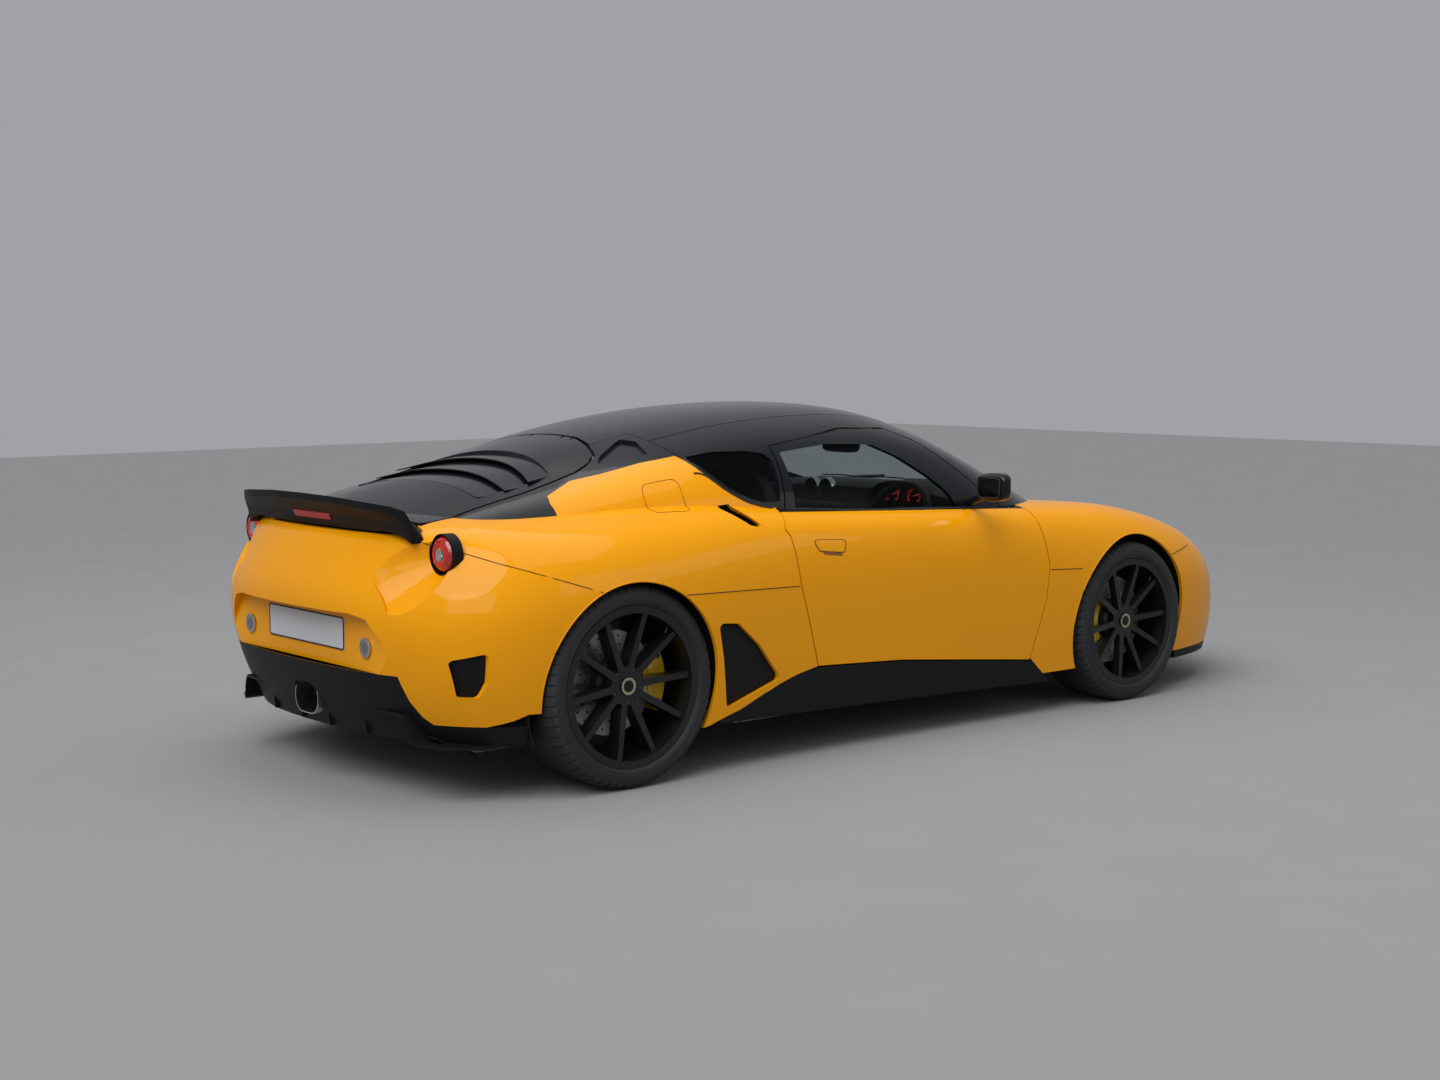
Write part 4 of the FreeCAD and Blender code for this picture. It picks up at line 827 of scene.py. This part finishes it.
waist = {"step": 0.015, "fall": 0.003, "top": 1.02, "low": 0.80, "stands": 0.0005}


# where the glass stands on the painted panel, found by looking down the side at each place
def waistLine(sign, ends, glass, panel):
    path = []
    steps = max(2, int(abs(ends[1] - ends[0]) / waist["step"]))
    for k in range(steps + 1):
        x = ends[0] + (ends[1] - ends[0]) * k / steps
        z = waist["top"]
        while z > waist["low"]:
            ofGlass = onSide(x, z, glass, sign)
            ofPanel = onSide(x, z, panel, sign)
            reach = 0.0 if ofGlass is None else abs(ofGlass.y) + waist["stands"]
            if ofPanel is not None and abs(ofPanel.y) > reach:
                path.append(ofPanel)
                break
            z -= waist["fall"]
    return path


def addWaistSeal(name, side, ends, glass, panel, body, radius):
    path = waistLine(sides[side], ends, glass, (panel,))
    if len(path) > 2:
        inner = [(path[k - 1] + path[k] + path[k + 1]) / 3 for k in range(1, len(path) - 1)]
        tube = tubeAlong([path[0]] + inner + [path[-1]], radius, 10)
        addPiece(name + "_" + side, tube, "softBlack", body)


mirror = {"x": 0.243, "y": 0.945, "z": 0.926, "halfWide": 0.054, "halfHigh": 0.037, "round": 0.017,
          "rim": 0.0028}


def addMirror(side):
    body, wide, high = "door_" + side, mirror["halfWide"], mirror["halfHigh"]
    corners = [(-wide, -high), (wide * 0.9, -high * 0.92), (wide, high * 0.9), (-wide, high)]
    outline = roundedLine(corners, mirror["round"])

    def atBack(u, v, h):
        return Vector((mirror["x"] - 0.001 - h, (mirror["y"] + u) * sides[side], mirror["z"] + v))

    addPiece("mirrorGlass_" + side, padOver(outline, atBack, 0.0016, 0.002, 2), "silvered", body)
    path = [atBack(spot.x * 1.05, spot.y * 1.07, 0.0) for spot in outline]
    addPiece("mirrorRim_" + side, tubeAlong(path, mirror["rim"], 8, True), "softBlack", body)


fuelFlap = {"corners": [(-1.195, -0.655), (-1.045, -0.672), (-1.038, -0.762), (-1.188, -0.745)],
            "round": 0.03, "lift": 0.0004, "radius": 0.0009}


def addFuelFlap():
    outline = roundedLine(fuelFlap["corners"], fuelFlap["round"])

    def onWing(x, y):
        return onTop(x, y, ("quarter_panels",), fuelFlap["lift"])

    addSeam("fuelFlap", outline + outline[:1], onWing, fuelFlap["radius"])


for side in sides:
    addHandle(side)
    addMirror(side)
    addWaistSeal("doorSeal", side, (-0.612, 0.27), ("door_glass_" + side, "door_frame_" + side),
                 "door_panel_" + side, "door_" + side, 0.0055)
    addWaistSeal("quarterSeal", side, (-0.965, -0.665), ("fixed_glass", "roof", "rear_pillars"),
                 "quarter_panels", "car_body", 0.0040)
addFuelFlap()
print("doors trimmed")


# tail; lamp profiles are (radius, distance forward)

tailLamp = {
    "x": -1.985, "y": 0.641, "z": 0.803,
    "pieces": {
        "tailLampLens_": (72, "redLens", "lamp_red", [
            (0.0245, 0.004), (0.0262, 0.0006), (0.030, 0.0), (0.0385, 0.0004), (0.0400, 0.0016),
            (0.0412, 0.0006), (0.047, 0.0036), (0.053, 0.0086), (0.0585, 0.0170), (0.0618, 0.0270),
            (0.0622, 0.048), (0.0245, 0.048)]),
        "tailLampCup_": (48, "brightSteel", "steel", [
            (0.0, 0.0150), (0.0060, 0.0148), (0.0085, 0.0120), (0.0150, 0.0095), (0.0225, 0.0030),
            (0.0243, 0.0022), (0.0243, 0.040), (0.0, 0.040)]),
        "tailLampBulb_": (32, "lampGlass", "lamp_glass", [
            (0.0, 0.0105), (0.0058, 0.0118), (0.0072, 0.0150), (0.0, 0.0152)]),
        "tailLampRing_": (64, "lampRed", "lamp_red", [
            (0.0285, -0.0002), (0.0372, 0.0), (0.0372, 0.0010), (0.0285, 0.0010)]),
    },
}
reversingLamp = {
    "x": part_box("reversing_lamps")[0][0], "y": 0.400, "z": 0.490,
    "pieces": {
        "reversingRing_": (56, "brightSteel", "steel", [
            (0.0275, -0.0012), (0.0305, -0.0024), (0.0335, -0.0012), (0.0335, 0.003), (0.0275, 0.003)]),
        "reversingBowl_": (40, "brightSteel", "steel", [
            (0.0, 0.0006), (0.010, 0.0010), (0.0262, -0.0004), (0.0262, 0.0016), (0.0, 0.0022)]),
    },
}


def addLamp(side, lamp):
    centre = (lamp["x"], lamp["y"] * sides[side], lamp["z"])
    for name, (steps, finish, slotName, profile) in lamp["pieces"].items():
        shape = turnedRing(profile, centre, (1, 0, 0), steps)
        piece = addFixed(name + side, shape, finish)
        if name == "tailLampLens_":
            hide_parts("tail_lamps")


plate = {"halfWide": 0.260, "halfHigh": 0.055, "z": 0.520, "rimWide": 0.0045, "rounds": (0.010, 0.008),
         "depths": (0.001, -0.0012), "screwY": 0.21,
         "screw": [(0.0, -0.0022), (0.004, -0.0018), (0.0052, 0.0), (0.0, 0.0)]}


def addPlateRim():
    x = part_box("number_plate")[0][0]
    lines = []
    for inset, radius in zip((0.0, plate["rimWide"]), plate["rounds"]):
        wide, high = plate["halfWide"] - inset, plate["halfHigh"] - inset
        lines.append(roundedBox((-wide, wide), (-high, high), radius))
    outer, inner = lines
    deep, proud = plate["depths"]
    points = []
    for line, depth in ((outer, deep), (outer, proud), (inner, proud), (inner, deep)):
        points += [Vector((x + depth, spot.x, plate["z"] + spot.y)) for spot in line]
    addFixed("plateRim", (points, bridged(4, len(outer), True)), "softBlack")
    screws = [turnedRing(plate["screw"], (x, plate["screwY"] * way, plate["z"]), (1, 0, 0), 16)
              for way in (-1, 1)]
    addFixed("plateScrews", joined(screws), "plateWhite")


stopStrip = {"y": (-0.125, 0.125), "z": (0.889, 0.911), "round": 0.008, "thick": 0.004}


def addStopStrip():
    def onTail(y, z, h):
        return onBack(y, z, ("spoiler", "rear_bumper", "tailgate"), h)

    outline = roundedBox(stopStrip["y"], stopStrip["z"], stopStrip["round"])
    strip = padOver(outline, onTail, stopStrip["thick"], 0.003, 3)
    addPiece("stopStrip", strip, "stripRed", "tailgate")


for side in sides:
    addLamp(side, tailLamp)
    addLamp(side, reversingLamp)
addPlateRim()
addStopStrip()
print("tail trimmed")


# cabin

driverSide = -1  # the solids have the steering wheel on the right, which is minus y
seat = {"y": 0.370, "middleX": -0.150, "halfWide": 0.222, "backFoot": (-0.345, 0.335),
        "backTop": (-0.520, 1.005), "cushionTilt": -3.0, "fill": 0.85}
crown = {"around": 40, "along": 24, "drawn": 0.03}


# a crowned closed form: soft box of the given half sizes, its sides drawn in between the corners
def crownedShape(centre, half, tilt=0.0, power=0.38):
    turn = Matrix.Rotation(tilt, 3, "Y")

    def soften(value, amount=power):
        return copysign(abs(value) ** amount, value)

    points = []
    for i in range(crown["along"] + 1):
        rise = -pi / 2 + pi * i / crown["along"]
        for j in range(crown["around"]):
            angle = 2 * pi * j / crown["around"]
            x = soften(cos(rise)) * soften(cos(angle))
            y = soften(cos(rise)) * soften(sin(angle))
            z = soften(sin(rise), power * 1.35)
            x *= 1 - crown["drawn"] * (1 - y * y)
            y *= 1 - crown["drawn"] * (1 - x * x)
            points.append(Vector(centre) + turn @ Vector((x * half[0], y * half[1], z * half[2])))
    return points, bridged(crown["along"] + 1, crown["around"])


def addPad(name, centre, half, tilt):
    pad = addFixed(name, crownedShape(centre, half, tilt), "leather")


def addSeat(side):
    y, x, wide = seat["y"] * sides[side], seat["middleX"], seat["halfWide"]
    foot, top = Vector(seat["backFoot"]), Vector(seat["backTop"])
    run, middle = (top - foot).normalized(), (foot + top) / 2
    tilt, level = atan2(run.x, run.y), radians(seat["cushionTilt"])
    base = crownedShape((x - 0.005, y, 0.215), (0.225, wide * 0.97, 0.055), 0.0, 0.22)
    shell = crownedShape((middle.x - 0.030, y, middle.y), (0.026, wide * 0.98, 0.340), tilt, 0.25)
    carrier = addFixed("seatShell_" + side, joined([base, shell]), "softBlack")
    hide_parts("seats")
    addPad("seatCushion_" + side, (x + 0.02, y, 0.312), (0.205, 0.138, 0.048), level)
    for way, label in ((-1, "inner_"), (1, "outer_")):
        centre = (x + 0.02, y + way * 0.178, 0.322)
        addPad("seatBolster_" + label + side, centre, (0.215, 0.042, 0.050), level)
        spot = foot + run * 0.270
        centre = (spot.x + 0.022, y + way * 0.176, spot.y)
        addPad("backBolster_" + label + side, centre, (0.048, 0.040, 0.235), tilt)
    for name, up, out, half in (("seatBack_", 0.265, 0.010, (0.042, 0.142, 0.250)),
                                ("headRest_", 0.600, 0.004, (0.034, 0.120, 0.075))):
        spot = foot + run * up
        addPad(name + side, (spot.x + out, y, spot.y), half, tilt)
    high, low = foot + run * 0.535, foot + run * 0.10
    piping = []
    for way in (-1, 1):
        ends = [(high.x + 0.045, y + way * 0.065, high.y), (low.x + 0.070, y + way * 0.040, low.y)]
        piping.append(tubeAlong(ends, 0.0015, 6))
    addFixed("seatPiping_" + side, joined(piping), "stitchGrey")


# spokes: (degrees, share of the radius)
steering = {
    "centre": (0.325, 0.370 * driverSide, 0.745), "axis": (-0.927, 0.0, 0.375), "radius": 0.168,
    "thick": 0.0145, "flat": 0.90, "spokes": ((8, 0.92), (172, 0.92), (270, 0.86)), "spokeThick": 0.0105,
    "boss": [(0.0, 0.018), (0.030, 0.016), (0.046, 0.006), (0.048, -0.010), (0.030, -0.045),
             (0.024, -0.110), (0.0, -0.112)],
}


def addSteeringWheel():
    centre, axis = Vector(steering["centre"]), Vector(steering["axis"]).normalized()
    across, reach = Vector((0, 1, 0)), steering["radius"]
    up = across.cross(axis)
    up = up if up.z > 0 else -up
    loop = []
    for k in range(72):
        turn = 2 * pi * k / 72
        height = max(sin(turn) * reach, -reach * steering["flat"])
        loop.append(centre + across * cos(turn) * reach + up * height)
    rim = tubeAlong(loop, steering["thick"], 14, True)
    ring = addFixed("steeringRim", rim, "leather")
    shapes = []
    for degrees, share in steering["spokes"]:
        turn = radians(degrees)
        out = across * cos(turn) + up * sin(turn)
        start, end = centre + out * 0.030 - axis * 0.012, centre + out * (reach * share)
        shapes.append(tubeAlong([start, (start + end) / 2 - axis * 0.006, end], steering["spokeThick"], 10))
    shapes.append(turnedRing(steering["boss"], centre, axis, 40))
    addFixed("steeringBoss", joined(shapes), "softBlack")
    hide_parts("steering_wheel")


dash = {
    "halfWide": 0.640, "rows": 40, "endDrop": 0.050, "endBack": 0.05,
    "section": [(0.440, 0.775), (0.446, 0.830), (0.455, 0.868), (0.480, 0.886), (0.540, 0.893),
                (0.640, 0.892), (0.700, 0.884), (0.722, 0.868), (0.722, 0.835), (0.600, 0.800),
                (0.500, 0.775)],
}


def addDashTop():
    section, rows = dash["section"], dash["rows"]
    count = len(section)
    points = []
    for k in range(rows + 1):
        y = dash["halfWide"] * (2 * k / rows - 1)
        share = abs(y) / dash["halfWide"]
        drop, back = dash["endDrop"] * share ** 5, dash["endBack"] * share ** 3
        points += [Vector((x - back * (x - 0.44) / 0.28, y, z - drop)) for x, z in section]
    ends = [tuple(range(count)), tuple(rows * count + k for k in range(count))[::-1]]
    addFixed("dashPad", (points, bridged(rows + 1, count) + ends), "softBlack")


# hood: (x, share of its full size), once round its section
gauges = {
    "y": 0.285 * driverSide, "hoodHalf": 0.155, "hoodRows": 32, "hoodZ": 0.842, "hoodRise": 0.068,
    "hood": ((0.408, 1.0), (0.425, 1.03), (0.560, 1.0), (0.560, 0.94), (0.425, 0.955), (0.410, 0.965)),
    "x": 0.446, "z": 0.850, "apart": 0.062, "radius": 0.041, "marks": 25, "needle": -70,
}


def addGauges():
    y0, half, rows, r = gauges["y"], gauges["hoodHalf"], gauges["hoodRows"], gauges["radius"]
    points = []
    for k in range(rows + 1):
        turn = pi * k / rows
        for x, grow in gauges["hood"]:
            rise = sin(turn) ** 0.8 * gauges["hoodRise"] * grow
            points.append(Vector((x, y0 + cos(turn) * half * grow, gauges["hoodZ"] + rise)))
    faces = bridged(rows + 1, len(gauges["hood"]), False, True)
    addFixed("gaugeHood", (points, faces), "softBlack")
    axis, up = Vector((-0.966, 0, 0.259)), Vector((0.259, 0, 0.966))

    def outward(degrees):
        turn = radians(degrees)
        return up * cos(turn) + Vector((0, 1, 0)) * sin(turn)

    dials, rings, marks, needles = [], [], [], []
    for way in (-1, 1):
        centre = Vector((gauges["x"], y0 + gauges["apart"] * way, gauges["z"]))
        dials.append(turnedRing([(0.0, 0.0), (r, 0.0), (r, -0.018), (0.0, -0.018)], centre, axis, 40))
        ring = [(r, -0.002), (r + 0.0035, -0.002), (r + 0.003, 0.005), (r, 0.004)]
        rings.append(turnedRing(ring, centre, axis, 40))
        for k in range(gauges["marks"]):
            out = outward(-130 + 260 * k / (gauges["marks"] - 1))
            reach = r * (0.74 if k % 4 else 0.64)
            ends = [centre + out * reach + axis * 0.0006, centre + out * (r * 0.92) + axis * 0.0006]
            marks.append(tubeAlong(ends, 0.0008, 5))
        foot = centre + axis * 0.002
        needles.append(tubeAlong([foot, foot + outward(gauges["needle"]) * r * 0.80], 0.0010, 5))
    addSet(("gaugeDials", dials, "blackGloss", "interior_black"),
           ("gaugeRings", rings, "brightSteel", "steel"),
           ("gaugeMarks", marks, "redGlow", "lamp_red"),
           ("gaugeNeedles", needles, "redGlow", "lamp_red"))


vents = {"x": 0.447, "y": (-0.180, -0.272), "z": 0.858, "radius": 0.040, "bladeStep": 0.012, "blade": 0.0016}


def addVents():
    axis, r, step = (-1, 0, 0), vents["radius"], vents["bladeStep"]
    rings, cups, blades = [], [], []
    ring = [(r - 0.005, 0.001), (r - 0.003, 0.006), (r + 0.001, 0.006), (r + 0.003, 0.0),
            (r + 0.003, -0.020), (r - 0.005, -0.020)]
    cup = [(0.0, -0.012), (r - 0.005, -0.012), (r - 0.005, -0.020), (0.0, -0.020)]
    for y in vents["y"]:
        centre = Vector((vents["x"], y * driverSide, vents["z"]))
        rings.append(turnedRing(ring, centre, axis, 40))
        cups.append(turnedRing(cup, centre, axis, 32))
        for k in range(-2, 3):
            reach = sqrt(max(0.0, (r - 0.006) ** 2 - (k * step) ** 2))
            ends = [centre + Vector((0.004, reach * way, k * step)) for way in (-1, 1)]
            blades.append(tubeAlong(ends, vents["blade"], 6))
    addSet(("ventRings", rings, "brightSteel", "steel"),
           ("ventCups", cups, "linerPlastic", "interior_black"),
           ("ventBlades", blades, "softBlack", "interior_black"))


# panel and screen: (y, z, rounding, lift, rim's drop); turned profiles are (radius, height)
console = {
    "panel": ((-0.105, 0.105), (0.600, 0.765), 0.012, 0.006, 0.004),
    "screen": ((-0.085, 0.085), (0.668, 0.752), 0.006, 0.0085, 0.001),
    "knobY": (-0.060, 0.0, 0.060), "knobZ": 0.632, "leverX": 0.12,
    "knob": [(0.0, 0.024), (0.012, 0.024), (0.0145, 0.021), (0.0155, 0.004), (0.0, 0.004)],
    "gaiter": [(0.0, 0.0), (0.052, 0.0), (0.044, 0.012), (0.026, 0.034), (0.012, 0.060), (0.0085, 0.075),
               (0.0, 0.075)],
    "lever": [(0.0, 0.070), (0.0075, 0.070), (0.0075, 0.092), (0.017, 0.100), (0.0235, 0.115),
              (0.0225, 0.131), (0.014, 0.142), (0.0, 0.145)],
}


def addConsole():
    def onDash(y, z, h):
        spot = meet(("dashboard",), (0.0, y, z), (1, 0, 0))
        return None if spot is None else spot - Vector((h, 0, 0))

    for name, key, finish in (("centrePanel", "panel", "satinBlack"),
                              ("centreScreen", "screen", "blackGloss")):
        across, up, radius, lift, drop = console[key]
        shape = padOver(roundedBox(across, up, radius), onDash, lift, drop, 2)
        addFixed(name, shape, finish)
    knobs = [turnedRing(console["knob"], onDash(y, console["knobZ"], 0.0), (-1, 0, 0), 28)
             for y in console["knobY"]]
    addFixed("heaterKnobs", joined(knobs), "darkSteel")
    top = meet(("dashboard",), (console["leverX"], 0.0, 1.0), (0, 0, -1))
    gaiter, lever = [turnedRing(console[key], top, (0, 0, 1), 32) for key in ("gaiter", "lever")]
    addFixed("gearGaiter", gaiter, "leather")
    addFixed("gearKnob", lever, "brightSteel")


insideMirror = {"x": 0.395, "back": 0.030, "down": 0.072, "half": (0.012, 0.112, 0.031), "tilt": 8,
                "stalk": 0.006}


def addInsideMirror():
    glass = meet(("fixed_glass", "roof"), (insideMirror["x"], 0.0, 0.9), (0, 0, 1))
    centre = Vector((glass.x - insideMirror["back"], 0.0, glass.z - insideMirror["down"]))
    shape = crownedShape(centre, insideMirror["half"], radians(insideMirror["tilt"]), 0.45)
    addFixed("insideMirror", shape, "softBlack")
    ends = [centre + Vector((0.008, 0, 0.012)), glass - Vector((0, 0, 0.002))]
    stalk = tubeAlong(ends, insideMirror["stalk"], 10)
    addFixed("insideMirrorStalk", stalk, "softBlack")


doorCard = {
    "outline": [(-0.480, 0.400), (0.470, 0.350), (0.490, 0.600), (0.420, 0.740), (-0.500, 0.780)],
    "round": 0.04, "thick": 0.008, "wall": 0.745, "pullOut": 0.028, "pullThick": 0.011,
    "pull": [(0.250, 0.600), (0.200, 0.640), (0.060, 0.655), (-0.100, 0.640), (-0.150, 0.600)],
}


def addDoorCard(side):
    def onWall(x, z, h):
        return Vector((x, (doorCard["wall"] - h) * sides[side], z))

    body, pull, out = "door_" + side, doorCard["pull"], doorCard["pullOut"]
    outline = roundedLine(doorCard["outline"], doorCard["round"])
    card = padOver(outline, onWall, doorCard["thick"], 0.001, 3)
    addPiece("doorCard_" + side, card, "leather", body)
    shapes = [tubeAlong([onWall(x, z, out) for x, z in pull], doorCard["pullThick"], 10)]
    for x, z in (pull[0], pull[-1]):
        shapes.append(tubeAlong([onWall(x, z, out), onWall(x, z, 0.002)], 0.010, 10))
    addPiece("doorPull_" + side, joined(shapes), "softBlack", body)


for side in sides:
    addSeat(side)
    addDoorCard(side)
addSteeringWheel()
addDashTop()
addGauges()
addVents()
addConsole()
addInsideMirror()
print("cabin fitted")


# front lamps, grille mesh and wipers

headlamp = {"spots": (-0.080, 0.004, 0.074), "radii": (0.026, 0.030, 0.022), "drop": 0.0035, "deep": 0.0105}


def lampPlaces(sign):
    spots = [v.co.copy() for v in nodes["headlamps"].data.vertices if v.co.y * sign > 0]
    centre = sum(spots, Vector()) / len(spots)
    reach = max(spots, key=lambda spot: (spot - centre).length) - centre
    reach.z = 0
    return [centre + reach.normalized() * step for step in headlamp["spots"]]


def addHeadlamp(side):
    sign, mesh, deep = sides[side], nodes["headlamps"].data, headlamp["deep"]
    under = [p for p in mesh.polygons if p.normal.z < -0.25 and p.center.y * sign > 0]
    used = sorted({k for p in under for k in p.vertices})
    index = {k: n for n, k in enumerate(used)}
    points = [mesh.vertices[k].co + Vector((0, 0, -0.001)) for k in used]
    tray = points, [tuple(index[k] for k in p.vertices) for p in under]
    addFixed("lampTray_" + side, tray, "satinBlack")
    bowls, rings, balls = [], [], []
    for place, r in zip(lampPlaces(sign), headlamp["radii"]):
        start = Vector((place.x, place.y, 1.4))
        spot, axis = surfaceTree(("headlamps",)).ray_cast(start, Vector((0, 0, -1)))[:2]
        if spot is None:
            continue
        axis = axis if axis.z > 0 else -axis
        base = spot - axis * headlamp["drop"]
        bowl = [(r * 0.50, -deep), (r * 0.80, -deep * 0.75), (r * 0.96, 0.0), (r, 0.0), (r, -deep),
                (r * 0.6, -deep - 0.001)]
        ring = [(r, -0.003), (r + 0.0025, -0.003), (r + 0.0025, 0.001), (r, 0.001)]
        ball = [(0.0, -deep * 0.15), (r * 0.28, -deep * 0.22), (r * 0.48, -deep * 0.55), (r * 0.52, -deep),
                (0.0, -deep)]
        bowls.append(turnedRing(bowl, base, axis, 36))
        rings.append(turnedRing(ring, base, axis, 36))
        balls.append(turnedRing(ball, base, axis, 32))
    addSet(("lampBowls_" + side, bowls, "brightSteel", "steel"),
           ("lampRings_" + side, rings, "darkSteel", "steel"),
           ("lampBalls_" + side, balls, "whiteGlow", "lamp_glass"))


grille = {"step": 0.020, "wire": 0.0016, "lean": 0.55, "sample": 0.008, "low": 0.16, "high": 0.52,
          "wide": 0.86, "lift": 0.0012}


# a place on the front grille, if no other panel stands before it
def onMouth(y, z):
    start, way = (3.0, y, z), (-1, 0, 0)
    first = meet(("front_clam", "front_grille", "front_splitter"), start, way)
    spot = meet(("front_grille",), start, way)
    if spot is None or (spot - first).length > 0.001:
        return None
    return spot + Vector((grille["lift"], 0, 0))


def addGrilleMesh():
    low, wide, sample = grille["low"], grille["wide"], grille["sample"]
    height = grille["high"] - low
    count = int(height / sample)
    wires = []
    for way in (-1, 1):
        start = -wide - height
        while start < wide + height:
            run = []
            for k in range(count + 1):
                shift = height * grille["lean"] if way < 0 else 0.0
                y = start + way * grille["lean"] * sample * k + shift
                spot = onMouth(y, low + sample * k) if abs(y) < wide else None
                if spot is not None:
                    run.append(spot)
                if (spot is None or k == count) and run:
                    if len(run) > 1:
                        wires.append(tubeAlong(run, grille["wire"], 4))
                    run = []
            start += grille["step"]
    addFixed("grilleMesh", joined(wires), "darkSteel")


wiper = {"inset": 0.040, "sweep": 0.02, "blade": 0.0035, "arm": 0.005,
         "blades": ((-0.50, 0.02), (0.06, 0.56)),
         "pivot": [(0.0, -0.006), (0.011, -0.006), (0.011, 0.006), (0.008, 0.009), (0.0, 0.009)]}


# the foremost point of the windscreen that shows at that distance from the middle
def screenFoot(y):
    x = 1.25
    while x > 0.5:
        first = onTop(x, y, ("fixed_glass", "bonnet", "front_clam", "roof"))
        glass = onTop(x, y, ("fixed_glass",))
        if glass is not None and (first - glass).length < 0.0005:
            return glass
        x -= 0.004
    return None


def addWipers():
    blades, arms = [], []
    for start, end in wiper["blades"]:
        run = []
        for k in range(15):
            y = start + (end - start) * k / 14
            x = screenFoot(y).x - wiper["inset"] - wiper["sweep"] * k / 14
            run.append(onTop(x, y, ("fixed_glass",), wiper["blade"] + 0.001))
        blades.append(tubeAlong(run, wiper["blade"], 6))
        middle, pivotY = run[len(run) // 2], end - 0.02
        pivot = onTop(screenFoot(pivotY).x - 0.012, pivotY, ("fixed_glass",), 0.006)
        path = [pivot, (pivot + middle) / 2 + Vector((0, 0, 0.008)), middle + Vector((0, 0, 0.007))]
        arms += [tubeAlong(path, wiper["arm"], 8), turnedRing(wiper["pivot"], pivot, (0, 0, 1), 20)]
    addFixed("wiperBlades", joined(blades), "rubber")
    addFixed("wiperArms", joined(arms), "softBlack")


for side in sides:
    addHeadlamp(side)
addGrilleMesh()
addWipers()
print("front fitted")
